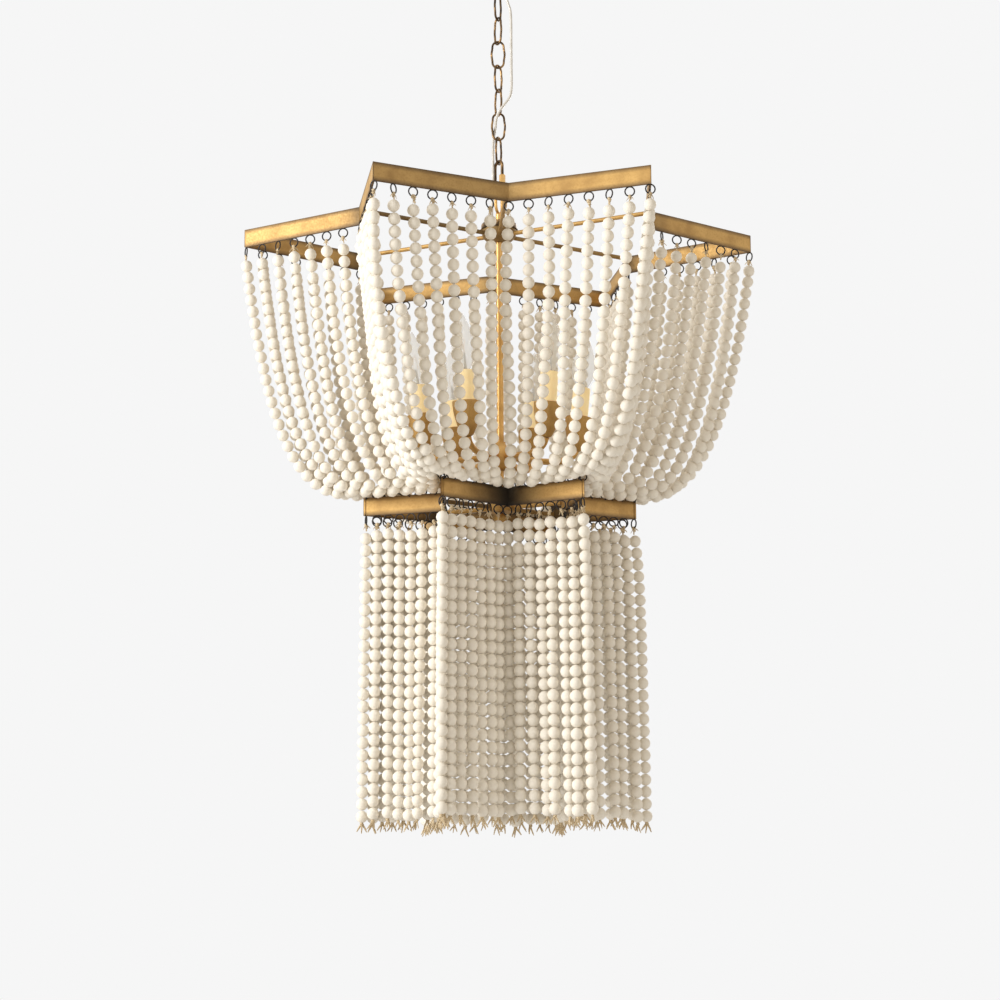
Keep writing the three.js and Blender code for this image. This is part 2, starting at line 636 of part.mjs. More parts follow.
// One fringe panel for each star point: a ribbed wall with one rib for each strand, and the twine
// of each strand above it. The ribs meet in valleys that are as thick as the twine.
for (let point = 0; point < 6; point++) {
  const places = offsets.map(offset => lowerPlaces[point](offset))
  const flat = polar(1, (point * 60 + lowerTurn) * turn)
  const side = new THREE.Vector3().crossVectors(up, flat)
  const edge = direction => places.flatMap((place, k) => {
    const peak = place.clone().addScaledVector(flat, direction * ribRadius)
    if (k === places.length - 1) return [peak]
    const between = place.clone().add(places[k + 1]).multiplyScalar(1 / 2)
    return [peak, between.addScaledVector(flat, direction * valleyThickness / 2)]
  })
  const firstEnd = places[0].clone().addScaledVector(side, -ribRadius)
  const lastEnd = places.at(-1).clone().addScaledVector(side, ribRadius)
  const outline = [firstEnd, ...edge(1), lastEnd, ...edge(-1).reverse()]
  const wall = new THREE.ExtrudeGeometry(new THREE.Shape(outline.map(p => new THREE.Vector2(p.x, p.y))),
    { depth: fringeTop - fringeBottom, bevelEnabled: false }).translate(0, 0, fringeBottom)
  const necks = places.map(place => loft([fringeTop - twine, lowerBottom - gap].map(height =>
    ring(place.clone().setZ(height), flat, side, twine / 2, 4))))
  add(`fringe_${point + 1}`, geometryOf(joined([wall, ...necks])), wood())
}

// Supply cord: its strain reliefs under the collar and on the hub, and its route down the chain
const relief = (root, tip, radiusAtRoot, radiusAtTip, place) => {
  const ends = [[radiusAtRoot, root], [radiusAtTip, tip]]
  const [low, high] = root < tip ? ends : ends.reverse()
  return turned([[0, low[1]], low, high, [0, high[1]]], 10).translate(place.x, place.y, 0)
}
const ceilingRelief = polar(ceilingReliefReach, ceilingReliefTurn * turn)
const hubRelief = polar(hubReliefReach, hubReliefTurn * turn)
add('ceiling_strain_relief', relief(collarBottom - gap, collarBottom - gap - reliefLength,
  reliefRootRadius, reliefTipRadius, ceilingRelief), clearPlastic())
add('hub_strain_relief', relief(hubTop + gap, hubTop + gap + reliefLength,
  reliefRootRadius, reliefTipRadius, hubRelief), clearPlastic())

const cordStart = ceilingRelief.clone().setZ(collarBottom - gap - reliefLength - gap)
const cordEnd = hubRelief.clone().setZ(hubTop + gap + reliefLength + gap)
const cordPath = new THREE.CatmullRomCurve3(
  [cordStart, ...cordRoute.map(point => new THREE.Vector3(...point)), cordEnd], false, 'centripetal')
const cordSection = new THREE.Shape().absarc(0, 0, cordDiameter / 2, 0, 2 * Math.PI)
add('power_cord', new THREE.ExtrudeGeometry(cordSection,
  { steps: 52, extrudePath: cordPath, curveSegments: 4 }), clearPlastic())

export default chandelier
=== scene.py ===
"""Beaded chandelier: two star frames of flat strap, swags and a fringe of wooden beads, candle lamps.

Every size is in metres, +Z is up, and the origin is on the ceiling, in the middle of the mounting
strap. Each class builds one sub-assembly out of surfaces that are worked out as whole arrays.
"""

import json
import logging
import math
from dataclasses import dataclass, field
from enum import Enum

import bpy
import numpy as np
from mathutils import Matrix

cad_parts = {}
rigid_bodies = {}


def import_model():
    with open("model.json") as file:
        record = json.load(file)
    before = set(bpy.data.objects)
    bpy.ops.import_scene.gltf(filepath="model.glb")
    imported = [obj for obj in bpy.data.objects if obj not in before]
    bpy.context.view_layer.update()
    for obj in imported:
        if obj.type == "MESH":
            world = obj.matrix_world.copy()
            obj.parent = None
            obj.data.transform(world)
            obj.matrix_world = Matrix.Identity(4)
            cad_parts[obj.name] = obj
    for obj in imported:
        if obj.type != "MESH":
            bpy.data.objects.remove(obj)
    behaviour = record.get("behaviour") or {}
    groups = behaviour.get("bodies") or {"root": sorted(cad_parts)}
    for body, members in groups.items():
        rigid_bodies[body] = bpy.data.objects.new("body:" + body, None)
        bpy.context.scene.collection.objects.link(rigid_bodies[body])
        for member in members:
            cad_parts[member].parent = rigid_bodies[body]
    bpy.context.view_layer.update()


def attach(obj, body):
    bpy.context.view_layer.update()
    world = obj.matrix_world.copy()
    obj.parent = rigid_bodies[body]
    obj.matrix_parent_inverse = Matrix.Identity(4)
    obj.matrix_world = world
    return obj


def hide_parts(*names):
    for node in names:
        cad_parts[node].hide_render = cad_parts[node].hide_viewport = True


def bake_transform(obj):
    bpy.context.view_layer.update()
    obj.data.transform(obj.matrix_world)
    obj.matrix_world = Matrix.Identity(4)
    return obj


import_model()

log = logging.getLogger("chandelier")
Array = np.ndarray
Socket = bpy.types.NodeSocket
ACROSS = np.array([0.0, 1.0, 0.0])
UP = np.array([0.0, 0.0, 1.0])
TAU = 2 * math.pi

# Strands on each strap of a star, with the one at its notch and without the one at its tip
SIDE_STRANDS = 7
# The fourteen strands at one point of a star, counted from its tip
OFFSETS = np.arange(1 - SIDE_STRANDS, SIDE_STRANDS + 1)


class Slot(Enum):
    """Material slots of the record, one of which each finish names."""

    GOLD = "antique_gold"
    BRONZE = "dark_bronze"
    STEEL = "plated_steel"
    WOOD = "whitewashed_wood"
    CREAM = "cream_sleeve"
    GLASS = "clear_glass"
    CORD = "clear_plastic"


class Body(Enum):
    """Bodies that are named here; the links are numbered instead."""

    CEILING = "ceiling_fitting"
    CONNECTOR = "connector"
    LIGHT = "light"


# Surfaces


@dataclass
class Surface:
    """A mesh as arrays: points (N, 3), faces in groups of equal corners, and named point values."""

    points: Array
    faces: list[Array]
    marks: dict[str, Array] = field(default_factory=dict)

    def volume(self) -> float:
        """Signed volume: each face is fanned from its first corner, and the wedges to the origin add up."""
        total = 0.0
        for group in self.faces:
            corners = self.points[group]
            for k in range(1, group.shape[1] - 1):
                cross = np.cross(corners[:, k], corners[:, k + 1])
                total += float(np.einsum("ij,ij->", corners[:, 0], cross))
        return total / 6

    def outward(self) -> "Surface":
        """Turn every face round if the closed surface is inside out."""
        if self.volume() < 0:
            self.faces = [group[:, ::-1] for group in self.faces]
        return self

    def marked(self, name: str, values: Array | float) -> "Surface":
        """Store a value for each point under a name."""
        self.marks[name] = np.broadcast_to(np.asarray(values, float), (len(self.points),)).copy()
        return self

    def placed(self, origin: Array, basis: Array | None = None) -> "Surface":
        """Turn the points by a basis, given as its three axes in rows, and move them to an origin."""
        points = self.points if basis is None else self.points @ basis
        return Surface(points + origin, self.faces, self.marks)


def joined(surfaces: list[Surface]) -> Surface:
    """Put several surfaces in one mesh.

    Args:
        surfaces: The surfaces, which keep their own points.

    Returns:
        One surface with all their points, faces and marks; a missing mark counts as zero.
    """
    starts = np.cumsum([0] + [len(s.points) for s in surfaces])
    faces = [group + start for s, start in zip(surfaces, starts) for group in s.faces]
    names = {name for s in surfaces for name in s.marks}
    marks = {name: np.concatenate([s.marks.get(name, np.zeros(len(s.points))) for s in surfaces])
             for name in names}
    return Surface(np.concatenate([s.points for s in surfaces]), faces, marks)


def repeated(template: Surface, origins: Array, bases: Array, marks: dict[str, Array]) -> Surface:
    """Copy a template to many places in one array operation.

    Args:
        template: The shape round its own origin.
        origins: Where each copy goes, (M, 3).
        bases: The three axes of each copy in rows, (M, 3, 3), with any scale in their lengths.
        marks: Values for each copy, (M,), by name.

    Returns:
        One surface with every copy.
    """
    count, size = len(origins), len(template.points)
    points = np.einsum("vk,mkj->mvj", template.points, bases) + origins[:, None]
    shift = (np.arange(count) * size)[:, None, None]
    faces = [(group[None] + shift).reshape(-1, group.shape[1]) for group in template.faces]
    values = {name: np.tile(mark, count) for name, mark in template.marks.items()}
    values.update({name: np.repeat(mark, size) for name, mark in marks.items()})
    return Surface(points.reshape(-1, 3), faces, values)


def grid(points: Array, closed: bool, caps: bool = True) -> Surface:
    """Skin a grid of points (U, V, 3): each face joins four neighbours, and each row is a loop.

    Args:
        points: The grid.
        closed: Whether the last row joins the first.
        caps: Whether the ends of an open skin get one flat face each.

    Returns:
        The skin, turned outwards.
    """
    rows, columns = points.shape[:2]
    u = np.arange(rows if closed else rows - 1)[:, None]
    v = np.arange(columns)[None]
    u_next, v_next = (u + 1) % rows, (v + 1) % columns
    quads = np.stack([u * columns + v, u * columns + v_next, u_next * columns + v_next,
                      u_next * columns + v], axis=-1).reshape(-1, 4)
    faces = [quads]
    if caps and not closed:
        first = np.arange(columns)[::-1][None]
        faces += [first, np.arange((rows - 1) * columns, rows * columns)[None]]
    return Surface(points.reshape(-1, 3), faces).outward()


def revolved(profile: list[tuple[float, float]] | Array, segments: int, closed: bool = False) -> Surface:
    """Turn a profile about Z: each point (r, z) becomes a circle r (cos a, sin a) at height z.

    Args:
        profile: Radius and height along the outline; an end at radius 0 closes in a pole.
        segments: Steps round the axis.
        closed: Whether the profile joins its first point, as on a ring.

    Returns:
        The closed surface, turned outwards.
    """
    profile = np.asarray(profile, float)
    low_pole, high_pole = (profile[0, 0] == 0 and not closed), (profile[-1, 0] == 0 and not closed)
    body = profile[int(low_pole):len(profile) - int(high_pole)]
    angle = np.arange(segments) * TAU / segments
    rings = np.stack([body[:, :1] * np.cos(angle), body[:, :1] * np.sin(angle),
                      np.repeat(body[:, 1:], segments, 1)], axis=-1)
    skin = grid(rings, closed, caps=False)
    count = len(skin.points)
    step = np.arange(segments)
    fans, poles = [], []
    if low_pole:
        fans.append(np.stack([np.full(segments, count), (step + 1) % segments, step], -1))
        poles.append([0, 0, profile[0, 1]])
    if high_pole:
        last = (len(body) - 1) * segments
        fans.append(np.stack([np.full(segments, count + len(poles)), last + step,
                              last + (step + 1) % segments], -1))
        poles.append([0, 0, profile[-1, 1]])
    flipped = skin.faces[0][0, 1] != 1
    fans = [fan[:, ::-1] if flipped else fan for fan in fans]
    points = np.concatenate([skin.points, np.array(poles).reshape(-1, 3)])
    return Surface(points, skin.faces + fans).outward()


def swept(path: Array, radius: Array | float, sides: int, closed: bool, reference: Array) -> Surface:
    """Carry a circle along a path: at each step it lies across the path's direction.

    Args:
        path: Points (U, 3).
        radius: One radius, or one for each point.
        sides: Corners of the circle.
        closed: Whether the path is a loop.
        reference: A direction that the path never takes, which keeps the circles from turning.

    Returns:
        The tube, with flat ends if it is open.
    """
    if closed:
        along = np.roll(path, -1, 0) - np.roll(path, 1, 0)
    else:
        along = np.gradient(path, axis=0)
    along = unit(along)
    side = unit(np.cross(along, reference))
    other = np.cross(along, side)
    angle = np.arange(sides) * TAU / sides
    radius = np.broadcast_to(np.asarray(radius, float), (len(path),))[:, None, None]
    circle = side[:, None] * np.cos(angle)[None, :, None] + other[:, None] * np.sin(angle)[None, :, None]
    return grid(path[:, None] + radius * circle, closed)


def oval(top: float, bottom: float, width: float, steps: int, gap: tuple[float, float] | None = None,
         bow: float = 0.0) -> Array:
    """Middle line of a wire bent to an oval in the XZ plane: two half circles joined by two legs.

    Args:
        top: Height of the wire's middle at the top bend.
        bottom: The same at the bottom bend.
        width: Distance between the middles of the two legs.
        steps: Steps in each bend.
        gap: Heights between which the leg at -X is open.
        bow: How far the legs' middles stand out from straight lines; not used together with a gap.

    Returns:
        The points, from the leg at -X round the bottom and back over the top.
    """
    bend = width / 2
    angle = np.linspace(-math.pi, 0, steps + 1)
    low = np.stack([bend * np.cos(angle), 0 * angle, bottom + bend + bend * np.sin(angle)], -1)
    high = np.stack([-low[:, 0], 0 * angle, top + bottom - low[:, 2]], -1)
    rise = np.linspace(0, 1, 10)[1:-1]
    leg = np.stack([bend + bow * np.sin(math.pi * rise) ** 2, 0 * rise,
                    low[-1, 2] + rise * (high[0, 2] - low[-1, 2])], -1)
    parts = [low, leg, high, leg[::-1] * [-1, 1, 1]]
    if gap:
        parts = [[[-bend, 0, gap[0]]], low, high, [[-bend, 0, gap[1]]]]
    return np.concatenate(parts)


def wire_oval(top: float, bottom: float, width: float, wire: float, turn: float, sides: int = 12,
              gap: tuple[float, float] | None = None, bow: float = 0.0, steps: int = 16) -> Surface:
    """Carry a wire's round section along an oval that is turned about Z.

    Args:
        top: Height of the wire's middle at the top bend.
        bottom: The same at the bottom bend.
        width: Distance between the middles of the two legs.
        wire: The wire's diameter.
        turn: Turn about Z in degrees.
        sides: Corners of the section.
        gap: Heights between which one leg is open.
        bow: How far the legs' middles stand out.
        steps: Steps in each bend.

    Returns:
        The wire, closed in itself if it has no gap.
    """
    path = turned(oval(top, bottom, width, steps, gap, bow), turn)
    return swept(path, wire / 2, sides, gap is None, turned(ACROSS[None], turn)[0])


def unit(vectors: Array) -> Array:
    """Vectors divided by their lengths."""
    return vectors / np.linalg.norm(vectors, axis=-1, keepdims=True)


def turned(points: Array, degrees: float) -> Array:
    """Turn points about Z: x' = x cos a - y sin a, y' = x sin a + y cos a."""
    a = math.radians(degrees)
    return points @ np.array([[math.cos(a), math.sin(a), 0], [-math.sin(a), math.cos(a), 0], [0, 0, 1]])


def polar(radius: float | Array, degrees: float | Array, height: float | Array = 0.0) -> Array:
    """Points at radius and angle in degrees round Z, at a height."""
    a = np.radians(degrees)
    return np.stack(np.broadcast_arrays(radius * np.cos(a), radius * np.sin(a), height), -1)


def profile_from(shape: tuple, base: float, width: float = 1.0, height: float = 1.0) -> list:
    """A profile from a table: radius times width, and base plus level times height, for each row."""
    return [(radius * width, base + level * height) for radius, level in shape]


def smooth_profile(points: list[tuple[float, float]], steps: int = 4) -> Array:
    """Round a profile off: a Catmull-Rom curve through its points, with steps on each span."""
    p = np.array([points[0]] + list(points) + [points[-1]], float)
    t = np.linspace(0, 1, steps, endpoint=False)[:, None, None]
    a, b, c, d = p[:-3], p[1:-2], p[2:-1], p[3:]
    curve = 0.5 * (2 * b + (c - a) * t + (2 * a - 5 * b + 4 * c - d) * t ** 2
                   + (3 * b - a - 3 * c + d) * t ** 3)
    curve = np.concatenate([curve.transpose(1, 0, 2).reshape(-1, 2), p[-1:]])
    curve[:, 0] = np.maximum(curve[:, 0], 0)
    return curve


# Finishes

# The grey of the picture's background, which the floor takes up too
BACKDROP = 0.922


def view_rays(tree: bpy.types.NodeTree) -> Socket:
    """An output that is 1 for rays from the camera, a glossy surface or clear glass, and else 0."""
    path = tree.nodes.new("ShaderNodeLightPath")
    total = path.outputs["Is Camera Ray"]
    for name in ("Is Glossy Ray", "Is Transmission Ray"):
        add = tree.nodes.new("ShaderNodeMath")
        add.operation, add.use_clamp = "ADD", True
        tree.links.new(total, add.inputs[0])
        tree.links.new(path.outputs[name], add.inputs[1])
        total = add.outputs[0]
    return total


class Graph:
    """A material's node graph, with short calls that add and join nodes."""

    def __init__(self, name: str) -> None:
        """Start a material with a principled shader and object coordinates."""
        material = bpy.data.materials.new(name)
        material.use_nodes = True
        self.tree = material.node_tree
        self.tree.nodes.clear()
        self.shader = self.tree.nodes.new("ShaderNodeBsdfPrincipled")
        self.output = self.tree.nodes.new("ShaderNodeOutputMaterial")
        self.tree.links.new(self.shader.outputs[0], self.output.inputs[0])
        self.place = self.tree.nodes.new("ShaderNodeTexCoord").outputs["Object"]

    def noise(self, scale: float, detail: float, stretch: tuple | None = None) -> Socket:
        """Noise over the object's coordinates, stretched by a scale for each axis."""
        node = self.tree.nodes.new("ShaderNodeTexNoise")
        node.inputs["Scale"].default_value = scale
        node.inputs["Detail"].default_value = detail
        place = self.place
        if stretch:
            mapping = self.tree.nodes.new("ShaderNodeMapping")
            mapping.inputs["Scale"].default_value = stretch
            self.tree.links.new(place, mapping.inputs["Vector"])
            place = mapping.outputs[0]
        self.tree.links.new(place, node.inputs["Vector"])
        return node.outputs["Fac"]

    def mark(self, name: str) -> Socket:
        """A value stored on the mesh's points."""
        node = self.tree.nodes.new("ShaderNodeAttribute")
        node.attribute_name = name
        return node.outputs["Fac"]

    def ramp(self, value: Socket, places: tuple, colours: tuple) -> Socket:
        """Colours by value: each colour has its place between 0 and 1."""
        node = self.tree.nodes.new("ShaderNodeValToRGB")
        elements = node.color_ramp.elements
        while len(elements) < len(places):
            elements.new(1.0)
        for element, place, colour in zip(elements, places, colours):
            element.position = place
            element.color = (*colour, 1.0)
        self.tree.links.new(value, node.inputs[0])
        return node.outputs["Color"]

    def mix(self, share: Socket, first: Socket, second: tuple) -> Socket:
        """Mix a colour of the graph with a plain colour by a share."""
        node = self.tree.nodes.new("ShaderNodeMix")
        node.data_type = "RGBA"
        self.tree.links.new(share, node.inputs[0])
        self.tree.links.new(first, node.inputs[6])
        node.inputs[7].default_value = (*second, 1.0)
        return node.outputs[2]

    def spread(self, value: Socket, low: float, high: float, start: float = 0.3, end: float = 0.7) -> Socket:
        """Map a value from the range start to end to the range low to high."""
        node = self.tree.nodes.new("ShaderNodeMapRange")
        for name, number in (("From Min", start), ("From Max", end), ("To Min", low), ("To Max", high)):
            node.inputs[name].default_value = number
        self.tree.links.new(value, node.inputs["Value"])
        return node.outputs[0]

    def bump(self, height: Socket, strength: float, distance: float) -> None:
        """Raise the surface by a height."""
        node = self.tree.nodes.new("ShaderNodeBump")
        node.inputs["Strength"].default_value = strength
        node.inputs["Distance"].default_value = distance
        self.tree.links.new(height, node.inputs["Height"])
        self.feed("Normal", node.outputs[0])

    def feed(self, name: str, socket: Socket) -> None:
        """Join a socket to one of the shader's inputs."""
        self.tree.links.new(socket, self.shader.inputs[name])


@dataclass(frozen=True)
class Finish:
    """What a piece is made of: the name of its material, and the record's slot for it."""

    name: str
    slot: Slot | None

    def material(self) -> bpy.types.Material:
        """The material, which is made on the first call."""
        if self.name not in bpy.data.materials:
            self.paint(Graph(self.name))
        return bpy.data.materials[self.name]

    def paint(self, g: Graph) -> None:
        """Join the nodes that give the finish its look."""
        raise NotImplementedError


@dataclass(frozen=True)
class MetalFinish(Finish):
    """Metal with a mottled patina, darker at marked edges and nearly black where painted shade is marked."""

    light: tuple
    middle: tuple
    dark: tuple
    edge: tuple
    metallic: float = 0.85
    rough: tuple = (0.3, 0.5)
    patch: float = 38.0
    patch_places: tuple = (0.32, 0.5, 0.68)
    speck: float = 420.0
    speck_share: float = 0.45
    speck_range: tuple = (0.5, 0.75)
    edge_share: float = 0.85
    # Near-black colour of the painted shade at the notches and on the shaded bars, hub and spokes
    tarnish: tuple = (0.012, 0.009, 0.006)
    relief: tuple = (0.12, 0.0004)

    def paint(self, g: Graph) -> None:
        """Colour by broad patches, then by fine specks, marked edges and the marked painted shade."""
        patches, specks = g.noise(self.patch, detail=5.0), g.noise(self.speck, detail=3.0)
        colour = g.ramp(patches, self.patch_places, (self.dark, self.middle, self.light))
        colour = g.mix(g.spread(specks, 0.0, self.speck_share, *self.speck_range), colour, self.dark)
        colour = g.mix(g.spread(g.mark("edge"), 0.0, self.edge_share, 0.0, 1.0), colour, self.edge)
        # Painted shade: the marked places are mixed towards the near-black colour
        g.feed("Base Color", g.mix(g.mark("tarnish"), colour, self.tarnish))
        g.feed("Roughness", g.spread(specks, *self.rough))
        g.shader.inputs["Metallic"].default_value = self.metallic
        g.bump(specks, *self.relief)


@dataclass(frozen=True)
class WoodFinish(Finish):
    """Whitewashed wood: each bead has its own tone, the grain shows through, and painted shade darkens it
    round its holes, where it touches the next bead.
    """

    pale: tuple
    warm: tuple
    brown: tuple
    tone_places: tuple = (0.0, 0.35, 0.8)
    grain: float = 320.0
    grain_stretch: tuple = (1.0, 1.0, 0.35)
    grain_share: float = 0.5
    grain_range: tuple = (0.48, 0.8)
    wear: float = 120.0
    wear_share: float = 0.35
    wear_range: tuple = (0.55, 0.8)
    # Brown of the painted shade at the holes, where the beads touch
    hole: tuple = (0.3, 0.22, 0.14)
    hole_painted_shade_share: float = 0.75
    rough: tuple = (0.62, 0.85)
    relief: tuple = (0.25, 0.0004)

    def paint(self, g: Graph) -> None:
        """Colour by the bead's tone, then by warm grain, brown wear and the painted shade at the marked
        holes.
        """
        colour = g.ramp(g.mark("tone"), self.tone_places, (self.brown, self.warm, self.pale))
        grain = g.noise(self.grain, detail=4.0, stretch=self.grain_stretch)
        wear = g.noise(self.wear, detail=2.0)
        colour = g.mix(g.spread(grain, 0.0, self.grain_share, *self.grain_range), colour, self.warm)
        colour = g.mix(g.spread(wear, 0.0, self.wear_share, *self.wear_range), colour, self.brown)
        # Painted shade where the beads touch
        colour = g.mix(g.spread(g.mark("hole"), 0.0, self.hole_painted_shade_share, 0.0, 1.0), colour, self.hole)
        g.feed("Base Color", colour)
        g.feed("Roughness", g.spread(grain, *self.rough))
        g.bump(grain, *self.relief)


@dataclass(frozen=True)
class PlainFinish(Finish):
    """A finish of one colour with fine mottling, for twine, sleeves, plastic and steel."""

    light: tuple
    dark: tuple
    scale: float
    rough: tuple
    settings: tuple = ()
    raised: float = 0.1
    depth: float = 0.0003
    mottle_places: tuple = (0.35, 0.65)

    def paint(self, g: Graph) -> None:
        """Colour and roughness by one fine noise, and the shader's other settings as given."""
        fine = g.noise(self.scale, detail=3.0)
        g.feed("Base Color", g.ramp(fine, self.mottle_places, (self.dark, self.light)))
        g.feed("Roughness", g.spread(fine, *self.rough))
        for name, value in self.settings:
            g.shader.inputs[name].default_value = value
        g.bump(fine, self.raised, self.depth)


@dataclass(frozen=True)
class FloorPaint(PlainFinish):
    """Pale floor paint that looks mostly like the backdrop and still takes a faint shadow."""

    backdrop: float = BACKDROP
    backdrop_share: float = 0.8

    def paint(self, g: Graph) -> None:
        """Mix the paint with the backdrop's light, for the rays that show the floor in the picture."""
        super().paint(g)
        pale = g.tree.nodes.new("ShaderNodeEmission")
        pale.inputs["Color"].default_value = (self.backdrop,) * 3 + (1.0,)
        share = g.tree.nodes.new("ShaderNodeMath")
        share.operation = "MULTIPLY"
        share.inputs[1].default_value = self.backdrop_share
        mix = g.tree.nodes.new("ShaderNodeMixShader")
        g.tree.links.new(view_rays(g.tree), share.inputs[0])
        for index, node in enumerate((share, g.shader, pale)):
            g.tree.links.new(node.outputs[0], mix.inputs[index])
        g.tree.links.new(mix.outputs[0], g.output.inputs[0])


GOLD = MetalFinish("antique_gold_patina", Slot.GOLD, (0.58, 0.355, 0.115), (0.515, 0.308, 0.096),
                   (0.40, 0.228, 0.066), (0.09, 0.05, 0.022), metallic=0.45, rough=(0.48, 0.64))
BRIGHT_GOLD = MetalFinish("brushed_gold", Slot.GOLD, (0.76, 0.46, 0.16), (0.68, 0.40, 0.13),
                          (0.52, 0.29, 0.085), (0.20, 0.11, 0.04), metallic=0.65, rough=(0.3, 0.44))
# Its high-contrast patches are partly patina and partly painted highlights on the chain's wire
BRONZE = MetalFinish("dark_bronze_patina", Slot.BRONZE, (0.46, 0.27, 0.11), (0.13, 0.077, 0.034),
                     (0.035, 0.022, 0.012), (0.015, 0.01, 0.008), rough=(0.26, 0.42), patch=90.0)
SOFT_BRONZE = MetalFinish("soft_bronze_patina", Slot.BRONZE, (0.24, 0.145, 0.065), (0.17, 0.10, 0.045),
                          (0.10, 0.06, 0.028), (0.03, 0.02, 0.012), rough=(0.34, 0.48), patch=24.0)
WIRE = MetalFinish("blackened_wire", Slot.BRONZE, (0.04, 0.028, 0.02), (0.022, 0.016, 0.012),
                   (0.012, 0.009, 0.007), (0.008, 0.006, 0.005), metallic=0.4, rough=(0.45, 0.6))
WOOD = WoodFinish("whitewashed_wood", Slot.WOOD, (0.91, 0.885, 0.835), (0.85, 0.79, 0.69),
                  (0.66, 0.54, 0.39))
TWINE = PlainFinish("natural_twine", Slot.WOOD, (0.80, 0.68, 0.47), (0.38, 0.26, 0.14), 900.0, (0.85, 0.95),
                    raised=0.5)
# The faint warm emission is a painted glow that brightens the sleeves, which give no light
CREAM = PlainFinish("cream_candle", Slot.CREAM, (0.98, 0.81, 0.48), (0.95, 0.74, 0.38), 60.0, (0.45, 0.6),
                    (("Emission Color", (1.0, 0.78, 0.42, 1.0)), ("Emission Strength", 0.22)))
STEEL = PlainFinish("zinc_plate", Slot.STEEL, (0.62, 0.62, 0.6), (0.5, 0.5, 0.48), 300.0, (0.3, 0.45),
                    (("Metallic", 0.9),))
CORD = PlainFinish("ivory_cord", Slot.CORD, (0.74, 0.72, 0.68), (0.62, 0.595, 0.55), 200.0, (0.25, 0.35),
                   (("Coat Weight", 0.4),))
LAMP_GLASS = PlainFinish("clear_glass", Slot.GLASS, (1.0, 1.0, 1.0), (0.99, 0.99, 0.985), 40.0, (0.01, 0.03),
                         (("Transmission Weight", 1.0), ("IOR", 1.08), ("Alpha", 0.1)), raised=0.0)
FLOOR = FloorPaint("floor_paint", None, (0.86, 0.875, 0.9), (0.84, 0.855, 0.88), 2.0, (0.8, 0.9), raised=0.0)


def piece(name: str, surface: Surface, finish: Finish, body: Body | str | None, replaces: str | None = None,
          sharp: float = 40.0) -> bpy.types.Object:
    """Make an object from a surface, dress it and let it ride on a body.

    Args:
        name: The piece's name.
        surface: Its mesh, in place.
        finish: What it is made of.
        body: The body that it moves with, or None for a piece that lies across the joint between two of them
            and rides on neither.
        replaces: The solid that it stands for, if there is one.
        sharp: Edges that bend by more than this, in degrees, stay sharp.

    Returns:
        The object.
    """
    corners = np.concatenate([group.ravel() for group in surface.faces]).astype(np.int32)
    sizes = np.concatenate([np.full(len(group), group.shape[1]) for group in surface.faces])
    mesh = bpy.data.meshes.new(name)
    mesh.vertices.add(len(surface.points))
    mesh.vertices.foreach_set("co", surface.points.astype(np.float32).ravel())
    mesh.loops.add(len(corners))
    mesh.loops.foreach_set("vertex_index", corners)
    mesh.polygons.add(len(sizes))
    mesh.polygons.foreach_set("loop_start", (np.cumsum(sizes) - sizes).astype(np.int32))
    mesh.update(calc_edges=True)
    mesh.validate()
    mesh.polygons.foreach_set("use_smooth", np.ones(len(mesh.polygons), bool))
    mesh.set_sharp_from_angle(angle=math.radians(sharp))
    for mark, values in surface.marks.items():
        mesh.attributes.new(mark, "FLOAT", "POINT").data.foreach_set("value", values.astype(np.float32))
    mesh.materials.append(finish.material())
    obj = bpy.data.objects.new(name, mesh)
    bpy.context.scene.collection.objects.link(obj)
    carrier = body.value if isinstance(body, Body) else body
    if carrier:
        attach(obj, carrier)
    if replaces:
        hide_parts(replaces)
    log.info("%s: %d faces, on %s", name, len(mesh.polygons), carrier or "two bodies")
    return obj


# The chain and what it hangs from


@dataclass
class Heights:
    """Heights from the ceiling down, worked out from the sizes of what hangs in between."""

    gap: float = 0.0003
    link_clearance: float = 0.00035
    ceiling_loop: float = -0.060
    ceiling_wire: float = 0.004
    link_wire: float = 0.003
    link_length: float = 0.042
    links: int = 8
    quick_wire: float = 0.0044
    quick_length: float = 0.052
    hub_wire: float = 0.0044
    hub_loop_height: float = 0.038
    hub_neck: float = 0.015
    hub_above_star: float = 0.0125
    star_drop: float = 0.380
    strap: float = 0.0254
    light_body_drop: float = 0.300
    light_body_height: float = 0.040

    def __post_init__(self) -> None:
        """Hang each piece on the one above it."""
        carrier, wire = self.ceiling_loop, self.ceiling_wire
        self.link_tops, self.link_bottoms = [], []
        for _ in range(self.links):
            top = carrier + (wire + self.link_wire) / 2 + self.link_clearance
            carrier, wire = top - (self.link_length - self.link_wire), self.link_wire
            self.link_tops.append(top)
            self.link_bottoms.append(carrier)
        self.quick_top = carrier + (wire + self.quick_wire) / 2 + self.link_clearance
        self.quick_bottom = self.quick_top - (self.quick_length - self.quick_wire)
        self.hub_loop_top = self.quick_bottom + self.quick_wire + self.link_clearance
        self.hub_loop_bottom = self.hub_loop_top - (self.hub_loop_height - self.hub_wire)
        self.hub_top = self.hub_loop_bottom - self.hub_neck
        self.star_top = self.hub_top - self.hub_above_star
        self.star_bottom = self.star_top - self.strap
        self.light_top = self.star_top - self.light_body_drop
        self.light_bottom = self.light_top - self.light_body_height
        self.lower_top = self.star_top - self.star_drop
        self.lower_bottom = self.lower_top - self.strap


